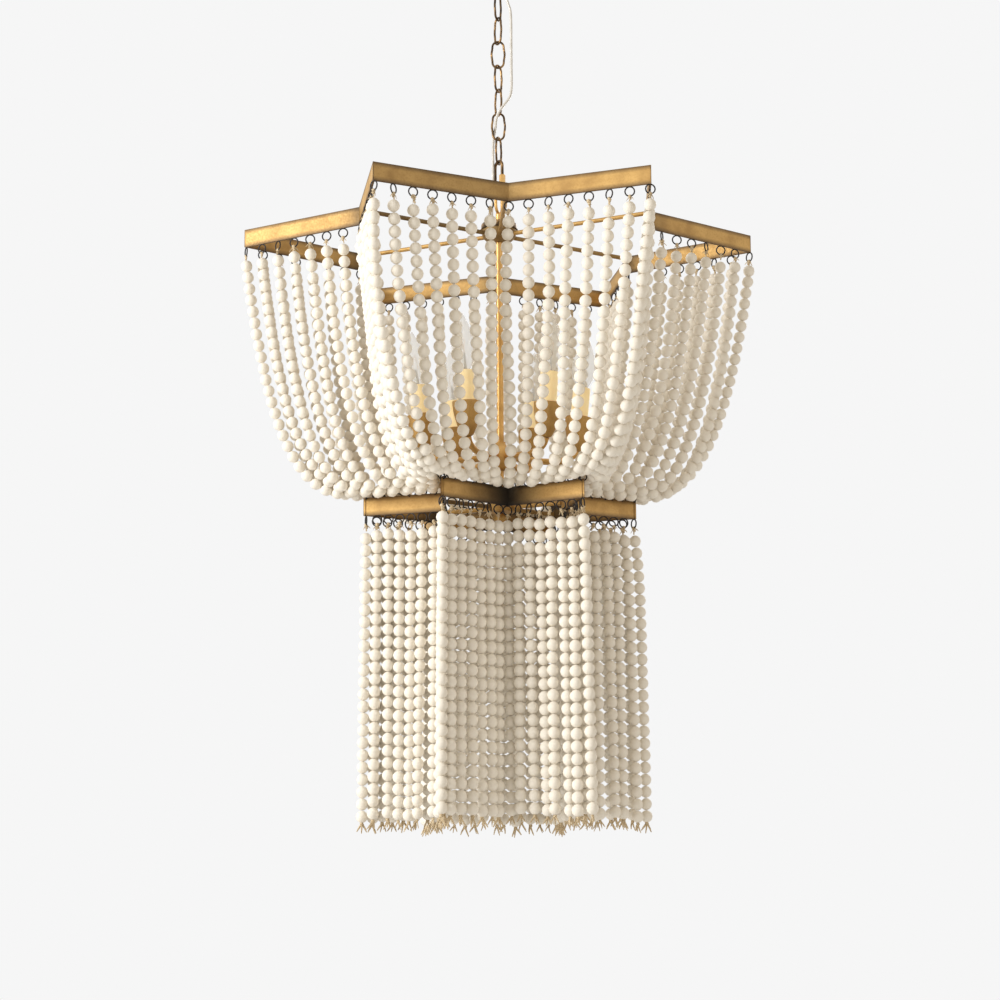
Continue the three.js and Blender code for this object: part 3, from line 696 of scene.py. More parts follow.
@dataclass
class CeilingFitting:
    """Strap, screws, canopy, ring nut and collar with its loop."""

    heights: Heights
    canopy_radius: float = 0.065
    canopy_depth: float = 0.028
    canopy_wall: float = 0.0014
    # From the rim to the hole, as shares of the radius and the depth
    canopy_shape: tuple = ((1, 0), (1, 0.08), (0.985, 0.22), (0.93, 0.5), (0.76, 0.78), (0.48, 0.94),
                           (0.3, 0.985))
    collar_radius: float = 0.013
    collar_bottom: float = -0.036
    collar_height: float = 0.016
    collar_bevel: float = 0.001
    pipe_radius: float = 0.005
    pipe_top: float = -0.0033
    nut_radius: float = 0.019
    nut_height: float = 0.005
    nut_bevel: float = 0.0015
    loop_width: float = 0.020
    loop_turn: float = 119.0
    carried_over: tuple = ("mounting_strap", "mounting_screw_left", "mounting_screw_right")

    def dome(self, inset: float) -> Array:
        """The canopy's curve from its rim to the hole, made smaller by an inset."""
        radius, depth = self.canopy_radius - inset, self.canopy_depth - inset
        hole = self.collar_radius + self.heights.gap
        return smooth_profile(profile_from(self.canopy_shape, 0.0, radius, -depth) + [(hole, -depth)])

    def build(self) -> None:
        """Build the canopy as a thin dome, the nut, and the collar with a wire loop."""
        h = self.heights
        canopy = revolved(np.concatenate([self.dome(0.0), self.dome(self.canopy_wall)[::-1]]), 64, True)
        piece("ceiling_canopy", canopy, SOFT_BRONZE, Body.CEILING, "canopy")
        hole, top = self.collar_radius + h.gap, -self.canopy_depth - h.gap
        r, low, bevel = self.nut_radius, top - self.nut_height, self.nut_bevel
        nut = revolved([(hole, low), (r - bevel, low), (r, low + bevel), (r, top), (hole, top)], 40, True)
        piece("canopy_ring_nut", nut, SOFT_BRONZE, Body.CEILING, "ring_nut")
        r, low, bevel = self.collar_radius, self.collar_bottom, self.collar_bevel
        high = low + self.collar_height
        collar = revolved([(0, low), (r - bevel, low), (r, low + bevel), (r, high), (self.pipe_radius, high),
                           (self.pipe_radius, self.pipe_top), (0, self.pipe_top)], 40)
        loop = wire_oval(low + h.ceiling_wire / 2, h.ceiling_loop, self.loop_width, h.ceiling_wire,
                         self.loop_turn)
        piece("collar_and_loop", joined([collar, loop]), SOFT_BRONZE, Body.CEILING, "collar_loop")
        for node in self.carried_over:
            mesh = bpy.data.objects[node].data
            mesh.materials.clear()
            mesh.materials.append(STEEL.material())


@dataclass
class Chain:
    """Eight links and the quick link with its sleeve, each turned against the one above."""

    heights: Heights
    width: float = 0.016
    # A little thicker than the wire that spaces the links
    wire: float = 0.0031
    bow: float = 0.0013
    turns: tuple = (-181, -121, -63, -3, 55, 115, 177, 243)
    quick_width: float = 0.0166
    quick_turn: float = 303.0
    slot: float = 0.005
    slot_drop: float = 0.0055
    sleeve_radius: float = 0.0044
    sleeve_length: float = 0.0155
    sleeve_bevel: tuple = (0.0007, 0.0009)

    def build(self) -> None:
        """Sweep round wire along each oval, and turn the sleeve as a six-sided nut."""
        h = self.heights
        for k, (turn, top, bottom) in enumerate(zip(self.turns, h.link_tops, h.link_bottoms), 1):
            link = wire_oval(top, bottom, self.width, self.wire, turn, bow=self.bow)
            piece(f"link_{k}_wire", link, BRONZE, f"link_{k}", f"chain_link_{k}")
        middle = (h.quick_top + h.quick_bottom) / 2 - self.slot_drop
        turn, slot = self.quick_turn + 180, (middle - self.slot / 2, middle + self.slot / 2)
        wire = wire_oval(h.quick_top, h.quick_bottom, self.quick_width, h.quick_wire, turn, 14, slot)
        piece("quick_link_wire", wire, BRONZE, Body.CONNECTOR, "quick_link")
        bore, r, low = h.quick_wire / 2 + h.gap, self.sleeve_radius, middle - self.sleeve_length / 2
        high = low + self.sleeve_length
        inward, along = self.sleeve_bevel
        profile = [(bore, low), (r - inward, low), (r, low + along), (r, high - along), (r - inward, high),
                   (bore, high)]
        sleeve = revolved(profile, 6, True).placed(polar(self.quick_width / 2, self.quick_turn))
        piece("quick_link_nut", sleeve, BRIGHT_GOLD, Body.CONNECTOR, "quick_link_sleeve", sharp=25)


@dataclass
class SupplyCord:
    """The cord down the chain, in one stretch for each joint that it crosses, and its strain reliefs."""

    heights: Heights
    diameter: float = 0.0039
    # Points in millimetres, from the ceiling's strain relief to the hub's
    route: tuple = (
        (9.1, -2.4, -50.6), (9.1, -3.7, -58.6), (9.3, -5, -66.6), (9.5, -5.5, -78.6), (10.5, -5.6, -94.6),
        (13.9, -5.8, -106.6), (17.2, -6.3, -118.6), (18.2, -6.6, -134.6), (18.2, -7, -164.6),
        (18.2, -8, -204.6), (17.9, -9.6, -237.6), (14.4, -11.3, -251.1), (7.5, -11.8, -260.8),
        (1.3, -9.7, -268.6), (-2, -6.3, -275.1), (-3.5, -2.8, -281.6), (-4.1, 0.6, -288.1),
        (-4.9, 3.4, -294.6), (-6.2, 4.8, -302.1), (-7.2, 4.9, -310.6), (-7.8, 4, -329.6),
        (-7.9, 3.1, -354.6), (-8.5, 2.5, -384.6), (-9.6, 1.6, -406.6), (-9.9, 1.4, -417.5))
    steps: int = 10
    sides: int = 12
    # A direction that the cord never takes
    aside: tuple = (0.35, 1.0, 0.0)
    # How far below the middle between two joints the cord is cut, and half the height of a bend
    cut_drop: float = 0.004
    bend_reach: float = 0.009
    relief_length: float = 0.014
    relief_radius: float = 0.0032
    relief_taper: float = 0.0009
    rib_depth: float = 0.00035
    ribs: int = 15

    def line(self) -> Array:
        """Smooth curve through the route: on each span a cubic that keeps the slope of its neighbours.

        Returns:
            The points, in metres, from the ceiling down.
        """
        p = np.array(self.route) / 1000
        p = np.concatenate([2 * p[:1] - p[1:2], p, 2 * p[-1:] - p[-2:-1]])
        knots = np.concatenate([[0], np.cumsum(np.sqrt(np.linalg.norm(np.diff(p, axis=0), axis=1)))])
        slope = (p[2:] - p[:-2]) / (knots[2:] - knots[:-2])[:, None]
        span = np.diff(knots)[1:-1, None]
        t = np.linspace(0, 1, self.steps, endpoint=False)[:, None, None]
        a, b = p[1:-2], p[2:-1]
        curve = ((2 * t ** 3 - 3 * t ** 2 + 1) * a + (t ** 3 - 2 * t ** 2 + t) * span * slope[:-1]
                 + (3 * t ** 2 - 2 * t ** 3) * b + (t ** 3 - t ** 2) * span * slope[1:])
        return np.concatenate([curve.transpose(1, 0, 2).reshape(-1, 3), p[-2:-1]])

    def build(self) -> None:
        """Cut the curve half way between joints, so that each stretch crosses its own joint."""
        h = self.heights
        line = self.line()
        joints = [h.ceiling_loop] + h.link_bottoms + [h.quick_bottom]
        middles = [(a + b) / 2 - self.cut_drop for a, b in zip(joints[:-1], joints[1:])]
        cuts = [math.inf, *middles, -math.inf]
        for k, joint in enumerate(joints):
            stretch = line[(line[:, 2] <= cuts[k]) & (line[:, 2] >= cuts[k + 1])]
            stretch = np.concatenate([stretch, line[line[:, 2] < cuts[k + 1]][:1]])
            tube = swept(stretch, self.diameter / 2, self.sides, False, np.array(self.aside))
            cord = piece(f"supply_cord_{k + 1}", tube, CORD, None, "power_cord")
            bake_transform(cord)
        self.relief("ceiling_strain_relief", Body.CEILING, 0, 1)
        self.relief("hub_strain_relief", Body.LIGHT, -1, -1)

    def relief(self, name: str, body: Body, end: int, sign: int) -> None:
        """Turn a ribbed sleeve that tapers towards the free cord.

        Args:
            name: The solid that it stands for.
            body: The body that it rides on.
            end: Index of the route's point at its mouth.
            sign: 1 if it points down, and -1 if it points up.
        """
        x, y, z = np.array(self.route[end]) / 1000
        root = z + sign * (self.relief_length + self.heights.gap)
        share = np.linspace(0, 1, self.ribs)
        radius = self.relief_radius - self.relief_taper * share - self.rib_depth * (np.arange(self.ribs) % 2)
        levels = root - sign * self.relief_length * share
        profile = [(0.0, levels[0]), *zip(radius, levels), (0.0, levels[-1])]
        relief = revolved(profile, 20).placed(np.array([x, y, 0.0]))
        piece(f"{name}_ribbed", relief, CORD, body, name)


# The metal frame


@dataclass
class Star:
    """One six-pointed star of flat strap, mitred at its twelve corners."""

    name: str
    tip: float
    notch: float
    top: float
    turn: float
    # Painted shade: how black the strap is made at each of the six notches, and how far that reaches before
    # and after it
    tarnish: tuple = (0.7, 0.5, 0.7, 0.6, 0.3, 0.7)
    # The long reach before the front notch paints shade along the front-left bar, which faces away from the
    # key light
    painted_shade_reach: tuple = ((0.016, 0.016),) * 4 + ((0.25, 0.04), (0.016, 0.016))
    height: float = Heights.strap
    thickness: float = 0.003
    edge_round: float = 0.0006
    # Places along each strap where its section is repeated, as shares of its length
    stations: tuple = (0, 0.012, 0.07, 0.25, 0.5, 0.75, 0.93, 0.988)

    def corners(self, inset: float = 0.0) -> Array:
        """Tips and notches in turn, moved inwards: each corner slides along its mitre line."""
        radius = np.where(np.arange(12) % 2, self.notch, self.tip)
        corner = polar(radius, np.arange(12) * 30.0 + self.turn)
        return corner + inset * self.mitres(corner)

    def inward(self, corner: Array) -> Array:
        """Level direction across the strap after each corner, towards the star's inside."""
        return np.cross(UP, unit(np.roll(corner, -1, 0) - corner))

    def mitres(self, corner: Array) -> Array:
        """Inward step at each corner that moves both straps by one unit."""
        middle = self.inward(corner) + np.roll(self.inward(corner), 1, 0)
        return 2 * middle / np.einsum("ij,ij->i", middle, middle)[:, None]

    def section(self) -> Array:
        """A rectangle with rounded edges and three more points on each tall side.

        Returns:
            Points (18, 2): how far inwards from the outer side, and the height from the top edge.
        """
        r, w, t = self.edge_round, self.thickness, self.height
        angle = np.radians([180, 225, 270, 270, 315, 360, 0, 45, 90, 90, 135, 180])
        centre = np.repeat([(r, r - t), (w - r, r - t), (w - r, -r), (r, -r)], 3, 0)
        edges = centre + r * np.stack([np.cos(angle), np.sin(angle)], -1)
        inner, outer = np.linspace(edges[5], edges[6], 5)[1:-1], np.linspace(edges[11], edges[0], 5)[1:-1]
        return np.concatenate([edges[:6], inner, edges[6:], outer])

    def strap(self) -> Surface:
        """Carry the section round the outline, and mark the darker edges and the painted shade at the
        notches.

        The painted shade falls off as exp(-(d / reach) ** 2) with the distance d from the notch.

        Returns:
            The closed strap.
        """
        corner, section = self.corners(), self.section()
        share = np.array(self.stations)[None, :, None]
        after = np.roll(corner, -1, 0)
        base = corner[:, None] * (1 - share) + after[:, None] * share
        direction = np.repeat(self.inward(corner)[:, None], len(self.stations), 1)
        direction[:, 0] = self.mitres(corner)
        base, direction = base.reshape(-1, 3), direction.reshape(-1, 3)
        points = base[:, None] + direction[:, None] * section[None, :, :1]
        points[..., 2] = self.top + section[None, :, 1]
        # Darker colour along the strap's rounded edges and down its tips
        darker_edge = np.tile(np.repeat([1.0, 0.0, 1.0, 0.0], [6, 3, 6, 3]), (len(base), 1))
        darker_edge[::2 * len(self.stations)] = 1.0
        from_notch = np.stack([1 - share[0, :, 0], share[0, :, 0]]) * np.linalg.norm(after[0] - corner[0])
        fall = np.exp(-(from_notch / np.reshape(self.painted_shade_reach, (6, 2, 1))) ** 2)
        # Painted shade round each notch, strongest at the notch itself
        tarnish = np.reshape(self.tarnish, (6, 1, 1)) * fall
        surface = grid(points, True).marked("edge", darker_edge.ravel())
        return surface.marked("tarnish", np.repeat(tarnish, len(section)))

    def places(self) -> tuple[Array, Array]:
        """Where strands hang along the middle of the strap.

        Returns:
            Places (6, 14, 3) by point of the star and strand, and the strap's direction there.
        """
        middle = self.corners(self.thickness / 2)
        share = np.abs(OFFSETS)[None, :, None] / SIDE_STRANDS
        before_tip = OFFSETS[None, :, None] < 0
        tips = middle[0::2][:, None]
        before, after = np.roll(middle, 1, 0)[0::2][:, None], np.roll(middle, -1, 0)[0::2][:, None]
        notch = np.where(before_tip, before, after)
        along = (notch - tips) * np.where(before_tip, -1, 1)
        along[:, OFFSETS == 0] = np.cross(UP, tips)
        along[:, -1] = np.cross(UP, middle[1::2])
        return tips * (1 - share) + notch * share, unit(along)


@dataclass
class FrameWork:
    """Hub with its loop, spokes, stars, stem, lower hub and finial."""

    heights: Heights
    upper: Star
    lower: Star
    loop_width: float = 0.0216
    loop_turn: float = 243.0
    # Radius and height above the cap, up to the loop's foot
    neck_shape: tuple = ((0, 0.0003), (0.0075, 0.0003), (0.0075, 0.0025), (0.0048, 0.004))
    neck_top_radius: float = 0.0045
    # Radius and height above the cap's own foot
    cap_shape: tuple = ((0, 0), (0.0245, 0), (0.025, 0.001), (0.025, 0.0065), (0.0238, 0.0085),
                        (0.021, 0.009), (0, 0.009))
    cap_height: float = 0.009
    hub_radius: float = 0.024
    hub_depth: float = 0.018
    # Shares of the hub's radius, and heights below its top
    hub_shape: tuple = ((0, -0.018), (0.4, -0.0178), (0.75, -0.015), (0.96, -0.009), (1, -0.003), (1, 0))
    # Painted shade: the hub is darker all over, and each spoke by its own share, where they lie in shadow
    hub_painted_shade: float = 0.55
    spoke_radius: float = 0.003
    spoke_painted_shade: tuple = (0.4, 0.3, 0.0, 0.65, 0.3, 0.0)
    spoke_drop: float = 0.004
    stem_radius: float = 0.005
    stem_end: float = 0.004
    lower_hub_radius: float = 0.020
    lower_hub_height: float = 0.012
    lower_hub_bevel: float = 0.001
    lower_spoke_drop: float = 0.012
    finial_radius: float = 0.009
    finial_height: float = 0.022
    # Shares of the finial's radius and height, from its foot up
    finial_shape: tuple = ((0, 0), (0.3, 0.1), (0.75, 0.3), (1, 0.6), (0.75, 0.85), (0.35, 0.97), (0.35, 1))

    def spokes(self, star: Star, hub: float, drop: float) -> list[Surface]:
        """Round rods from half way inside a hub to the notches of a star.

        Args:
            star: The star that they carry.
            hub: Radius of the hub.
            drop: How far the rods' middles lie below the star's top edge.

        Returns:
            The six rods, each with its own painted shade.
        """
        rods = []
        for end, tarnish in zip(star.corners(star.thickness)[1::2], self.spoke_painted_shade):
            outward = unit(end)
            path = np.stack([outward * hub / 2, end - outward * self.heights.gap])
            path[:, 2] = star.top - drop
            rods.append(swept(path, self.spoke_radius, 16, False, UP).marked("tarnish", tarnish))
        return rods

    def build(self) -> None:
        """Build the hub, both stars, the stem's two lengths, and the lower hub with the finial."""
        h = self.heights
        hub_foot = self.hub()
        for star in (self.upper, self.lower):
            piece(f"{star.name}_strap", star.strap(), GOLD, Body.LIGHT, star.name, sharp=35)
        lower_hub_top = h.lower_top - self.lower_spoke_drop + self.lower_hub_height / 2
        self.stem("stem_upper", hub_foot, h.light_top)
        self.stem("stem_lower", h.light_bottom, lower_hub_top)
        self.lower_hub(lower_hub_top)

    def hub(self) -> float:
        """Build the loop on its neck, the dark cap and the hub with its spokes; returns the hub's foot."""
        h = self.heights
        neck = revolved([*profile_from(self.neck_shape, h.hub_top), (self.neck_top_radius, h.hub_loop_bottom),
                         (0, h.hub_loop_bottom)], 28)
        loop = wire_oval(h.hub_loop_top, h.hub_loop_bottom, self.loop_width, h.hub_wire, self.loop_turn, 14,
                         steps=18)
        piece("hub_loop_on_neck", joined([neck, loop]), BRIGHT_GOLD, Body.LIGHT, "hub_loop")
        low = h.hub_top - self.cap_height
        cap = revolved(smooth_profile(profile_from(self.cap_shape, low)), 48)
        piece("hub_dark_cap", cap, BRONZE, Body.LIGHT, "hub_cap")
        top = low - h.gap
        hub = smooth_profile(profile_from(self.hub_shape, top, self.hub_radius), 5)
        hub = revolved(np.concatenate([hub, [(0, top)]]), 48).marked("tarnish", self.hub_painted_shade)
        spokes = self.spokes(self.upper, self.hub_radius, self.spoke_drop)
        piece("hub_cup_and_spokes", joined([hub] + spokes), GOLD, Body.LIGHT, "upper_spider")
        return top - self.hub_depth

    def stem(self, name: str, above: float, below: float) -> None:
        """Build one length of the stem, between two heights, less a gap at each end."""
        high, low = above - self.heights.gap, below + self.heights.gap
        r, end = self.stem_radius, self.stem_end
        rod = [(0, low), (r, low), (r, low + end), (r, high - end), (r, high), (0, high)]
        piece(f"{name}_tube", revolved(rod, 28), BRIGHT_GOLD, Body.LIGHT, name)

    def lower_hub(self, high: float) -> None:
        """Build the lower hub with its spokes below a height, and the finial under it."""
        r, low, bevel = self.lower_hub_radius, high - self.lower_hub_height, self.lower_hub_bevel
        hub = revolved([(0, low), (r - bevel, low), (r, low + bevel), (r, high - bevel), (r - bevel, high),
                        (0, high)], 40)
        spokes = self.spokes(self.lower, r, self.lower_spoke_drop)
        piece("lower_hub_and_spokes", joined([hub] + spokes), GOLD, Body.LIGHT, "lower_spider")
        top, size = low - self.heights.gap, self.finial_height
        ball = smooth_profile(profile_from(self.finial_shape, top - size, self.finial_radius, size))
        finial = revolved(np.concatenate([ball, [(0, top)]]), 32)
        piece("stem_finial", finial, GOLD, Body.LIGHT, "finial")


@dataclass
class Lights:
    """Six candle lamps on arms: body, arms, cups, sleeves, bulbs with their filaments."""

    heights: Heights
    turn: float
    reach: float = 0.110
    lean: float = 6.0
    body_radius: float = 0.016
    # Shares of the body's radius and height, from its foot up
    body_shape: tuple = ((0, 0), (0.45, 0), (0.6, 0.05), (0.8, 0.12), (1, 0.35), (1, 0.6), (0.7, 0.8),
                         (0.5, 0.9), (0.45, 1), (0, 1))
    arm_radius: float = 0.0045
    # The arm's two middle control points: share of its span outwards, and the same below its start
    arm_bends: tuple = ((0.55, 0.1), (0.92, 0.12))
    cup_rim_drop: float = 0.264
    cup_height: float = 0.047
    cup_radius: float = 0.019
    cup_foot: float = 0.0055
    # Shares of the cup's radius and height, from above its foot to the rim
    cup_shape: tuple = ((0.45, -0.93), (0.72, -0.68), (0.93, -0.34), (1, -0.06), (1, 0))
    # From the cup's radius inwards, and the height from the rim
    lip_shape: tuple = ((0.0012, 0.0004), (0.0022, -0.001))
    # Radius and height of the seat, the lamp holder and its bore
    holder_shape: tuple = ((0.0123, -0.008), (0.009, -0.008), (0.009, 0.039), (0.0064, 0.039),
                           (0.0064, 0.017), (0, 0.017))
    candle_radius: float = 0.012
    candle_wall: float = 0.0012
    candle_below: float = 0.0077
    candle_above: float = 0.042
    # From the sleeve's radius inwards, and below its top
    candle_edge: tuple = ((0, 0.0006), (0.0004, 0), (0.0009, 0), (0.0012, 0.0004))
    bulb_radius: float = 0.017
    bulb_length: float = 0.077
    # Shares of the bulb's radius and length, from its neck to its tip
    bulb_shape: tuple = ((0.352, 0), (0.5, 0.04), (0.86, 0.2), (1, 0.36), (0.86, 0.56), (0.5, 0.78),
                         (0.2, 0.92), (0.06, 0.985), (0, 1))
    # Radius and height from the bulb's neck
    base_shape: tuple = ((0, -0.021), (0.004, -0.021), (0.006, -0.018), (0.006, -0.0005), (0, -0.0005))
    mount_shape: tuple = ((0, 0), (0.0032, 0), (0.0024, 0.012), (0.0014, 0.022), (0, 0.024))
    # Half width each way and height of the filament's loop, its foot above the neck, and its radius
    filament: tuple = (0.0032, 0.0022, 0.02, 0.022, 0.00025)
    # A direction that the filament never takes
    filament_aside: tuple = (0.2, 0.3, 1.0)

    def arm(self, degrees: float, level: float, foot: Array) -> Surface:
        """Sweep an arm along a cubic Bezier curve from the body to the foot of its cup.

        Args:
            degrees: Its direction about Z.
            level: Height at which it leaves the body.
            foot: Radius and height of the cup's foot.

        Returns:
            The arm.
        """
        span = foot[0] - self.body_radius
        bends = [[self.body_radius + out * span, level - down * span] for out, down in self.arm_bends]
        control = np.array([[self.body_radius / 2, level], *bends, [foot[0], foot[1]]])
        t = np.linspace(0, 1, 18)[:, None]
        line = ((1 - t) ** 3 * control[0] + 3 * (1 - t) ** 2 * t * control[1]
                + 3 * (1 - t) * t ** 2 * control[2] + t ** 3 * control[3])
        path = polar(line[:, 0], degrees, line[:, 1])
        return swept(path, self.arm_radius, 14, False, polar(1.0, degrees + 90.0))

    def build(self) -> None:
        """Turn each lamp about its own leaning axis, and join the arms to their body."""
        h = self.heights
        rim, lean = h.star_top - self.cup_rim_drop, math.radians(self.lean)
        foot = np.array([self.reach - self.cup_height * math.tan(lean), rim - self.cup_height])
        shape = profile_from(self.body_shape, h.light_bottom, self.body_radius, h.light_body_height)
        angles = [k * 60.0 + self.turn for k in range(6)]
        arms = [self.arm(angle, h.light_bottom + h.light_body_height / 2, foot) for angle in angles]
        centre = revolved(shape, 36)
        piece("lamp_body_and_arms", joined([centre] + arms), BRIGHT_GOLD, Body.LIGHT, "light_arms")
        for k, angle in enumerate(angles, 1):
            axis = polar(math.sin(lean), angle, math.cos(lean))
            across = polar(1.0, angle + 90.0)
            self.lamp(k, polar(self.reach, angle, rim), np.stack([np.cross(across, axis), across, axis]))

    def lamp(self, k: int, place: Array, basis: Array) -> None:
        """Build one cup, sleeve and bulb round the middle of the cup's rim.

        Args:
            k: The lamp's number.
            place: The middle of the rim.
            basis: The lamp's three axes in rows.
        """
        size, r = self.cup_height, self.cup_radius
        outside = smooth_profile([(self.cup_foot, -size), *profile_from(self.cup_shape, 0.0, r, size)])
        lip = [(r - inward, level) for inward, level in self.lip_shape]
        cup = revolved(np.concatenate([[(0, -size)], outside, lip, self.holder_shape]), 32)
        piece(f"socket_cup_{k}_turned", cup.placed(place, basis), GOLD, Body.LIGHT, f"socket_cup_{k}")
        r, low, high = self.candle_radius, -self.candle_below, self.candle_above
        edge = [(r - inward, high - down) for inward, down in self.candle_edge]
        sleeve = revolved([(r - self.candle_wall, low), (r, low), *edge], 32, True)
        piece(f"candle_{k}_sleeve", sleeve.placed(place, basis), CREAM, Body.LIGHT, f"candle_{k}")
        neck = high + self.heights.gap
        outer = smooth_profile(profile_from(self.bulb_shape, neck, self.bulb_radius, self.bulb_length))
        glass = revolved(np.concatenate([[(0, neck)], outer]), 32)
        piece(f"bulb_{k}_glass", glass.placed(place, basis), LAMP_GLASS, Body.LIGHT, f"bulb_{k}")
        base = revolved(profile_from(self.base_shape, neck), 20)
        mount = revolved(profile_from(self.mount_shape, neck), 16)
        piece(f"bulb_{k}_base", joined([base, mount]).placed(place, basis), STEEL, Body.LIGHT)
        wide, deep, tall, foot, radius = self.filament
        turn = np.linspace(0, 1, 25) * math.pi
        wire = np.stack([wide * np.cos(turn), deep * np.sin(2 * turn), neck + foot + tall * np.sin(turn)], -1)
        filament = swept(wire, radius, 6, False, np.array(self.filament_aside)).placed(place, basis)
        piece(f"bulb_{k}_filament", filament, BRIGHT_GOLD, Body.LIGHT)


# Beads, twine and rings


@dataclass
class BeadWork:
    """Swags and fringe: beads on twine, with a knot and a wire ring at each end that is tied."""

    heights: Heights
    upper: Star
    lower: Star
    seed: int = 7
    bead: float = 0.0163
    # Angles down from the top of a bead to the points of its profile, and how much painted shade each one
    # gets where the beads touch
    bead_angles: tuple = (169.2, 150, 121, 90, 59, 30, 10.8)
    bead_shade: tuple = (1.0, 0.3, 0.0, 0.0, 0.0, 0.3, 1.0)
    bead_sides: int = 10
    size_spread: float = 0.012
    size_range: tuple = (-0.03, 0.01)
    tone_curve: tuple = (2.4, 1.8)
    place_spread: float = 0.00012
    swag_hang: float = 0.0204
    swag_end_reach: float = 0.010
    # Height of a swag's last bead over the lower star, by its distance from the tip, in beads
    swag_rise_shares: tuple = (0.7, 0.6, 0.48, 0.42, 0.42, 0.42, 0.42, 0.42)
    swag_level_spread: float = 0.0012
    # Slope in degrees at a swag's lower end: up to the strand beside the tip, and at the notch
    tip_arrival: float = -20.0
    notch_arrival: float = -31.0
    arrival_spread: float = 7.0
    swag_sway: float = 0.0022
    # Where a catenary's upper end is looked for, past its start, and how often the span is halved
    search_span: tuple = (1e-6, 12.0)
    halvings: int = 60
    swag_shift: tuple = (0.35, 0.65)
    fringe_beads: int = 24
    fringe_hang: float = 0.0207
    fringe_flare: float = 0.0045
    fringe_swing: float = 0.0005
    fringe_lean: float = 0.006
    fringe_sway: float = 0.0024
    fringe_drop: float = 0.002
    ring_radius: float = 0.0063
    ring_wire: float = 0.001
    ring_steps: int = 14
    ring_sides: int = 5
    ring_swing: float = 0.6
    # Height of a swag's end ring over the lower star, in ring radii
    end_ring_rise: float = 0.6
    knot_lean: float = 0.12
    knot_sizes: tuple = (0.8, 1.15)
    knot_seat: float = 0.003
    tail_seat: float = 0.0014
    lump_sides: int = 6
    lump_bulge: float = 0.2
    # Radius and middle of each lump of a knot, and reach and thickness of each loose end
    knot_lumps: tuple = ((0.0028, (0, 0, 0)), (0.0021, (0.0009, 0.0003, -0.0036)))
    knot_ends: tuple = (((0.0062, 0.0018, -0.0045), 0.0009), ((-0.0045, -0.0016, -0.0068), 0.0008))
    tail_lumps: tuple = ((0.0026, (0, 0, 0)),)
    tail_ends: tuple = (((0.0066, 0.001, -0.0102), 0.0014), ((-0.0064, 0.0014, -0.0098), 0.0014),
                        ((0.0012, -0.0048, -0.0122), 0.0012))
    end_bow: float = 0.003
    end_taper: tuple = (1.0, 0.95, 0.8, 0.45)
    neck_radius: float = 0.0011
    neck_levels: tuple = (-0.001, -0.009)
    twine: float = 0.00055
    twine_slack: float = 0.0016
    twine_sides: int = 4
    # Directions that no loose end and no thread takes
    end_aside: tuple = (0.1, 1.0, 0.2)
    thread_aside: tuple = (0.13, 0.31, 1.0)

    def __post_init__(self) -> None:
        """Seed the small differences between beads."""
        self.random = np.random.default_rng(self.seed)

    def bead_template(self) -> Surface:
        """A sphere cut flat round its hole: radius R sin a at height R cos a, between two hole edges."""
        angle, circle = np.radians(self.bead_angles), np.arange(self.bead_sides) * TAU / self.bead_sides
        out, level = np.sin(angle)[:, None] * self.bead / 2, np.cos(angle)[:, None] * self.bead / 2
        points = np.stack(np.broadcast_arrays(out * np.cos(circle), out * np.sin(circle), level), -1)
        # The hole mark paints shade at the flats and the ring beside them, where the beads touch
        return grid(points, False).marked("hole", np.repeat(self.bead_shade, self.bead_sides))

    def ring_template(self) -> Surface:
        """A torus that stands upright in the XZ plane."""
        angle = np.arange(self.ring_steps) * TAU / self.ring_steps
        path = self.ring_radius * np.stack([np.cos(angle), 0 * angle, np.sin(angle)], -1)
        return swept(path, self.ring_wire, self.ring_sides, True, ACROSS)

    def lump(self, radius: float, centre: tuple) -> Surface:
        """A rough ball of twine: a sphere with three bulges round it."""
        down = np.linspace(0, math.pi, self.lump_sides)[1:-1, None]
        around = (np.arange(self.lump_sides) * TAU / self.lump_sides)[None]
        size = radius * (1 + self.lump_bulge * np.sin(3 * around + 4 * down))
        ball = np.stack([size * np.sin(down) * np.cos(around), size * np.sin(down) * np.sin(around),
                         size * np.cos(down)], -1)
        return grid(ball + np.array(centre), False)

    def frayed(self, leg: tuple, thick: float) -> Surface:
        """A loose end of twine that thins out along a slightly bowed leg."""
        t = np.linspace(0, 1, len(self.end_taper))[:, None]
        path = t * np.array(leg) + t * (1 - t) * np.array([0, self.end_bow, self.end_bow])
        radius = thick * np.array(self.end_taper)
        return swept(path, radius, self.twine_sides, False, np.array(self.end_aside))

    def knot_template(self) -> Surface:
        """Two lumps of twine, two loose ends and a short neck that runs down into the bead."""
        line = np.array([[0, 0, level] for level in self.neck_levels])
        neck = swept(line, self.neck_radius, self.twine_sides, False, ACROSS)
        return joined([*(self.lump(*lump) for lump in self.knot_lumps), neck,
                       *(self.frayed(*end) for end in self.knot_ends)])

    def tail_template(self) -> Surface:
        """The knot under a strand's last bead: a lump and three loose ends that splay downwards."""
        return joined([*(self.lump(*lump) for lump in self.tail_lumps),
                       *(self.frayed(*end) for end in self.tail_ends)])

    def spun(self, axes: Array, angles: Array) -> Array:
        """Bases whose third row is an axis, turned about it by an angle.

        Args:
            axes: Unit directions (M, 3).
            angles: Turns in radians (M,).

        Returns:
            Bases (M, 3, 3) in rows.
        """
        helper = np.where(np.abs(axes[:, 2:]) > 0.9, [[1.0, 0.0, 0.0]], [[0.0, 0.0, 1.0]])
        first = unit(np.cross(helper, axes))
        second = np.cross(axes, first)
        c, s = np.cos(angles)[:, None], np.sin(angles)[:, None]
        return np.stack([c * first + s * second, c * second - s * first, axes], 1)

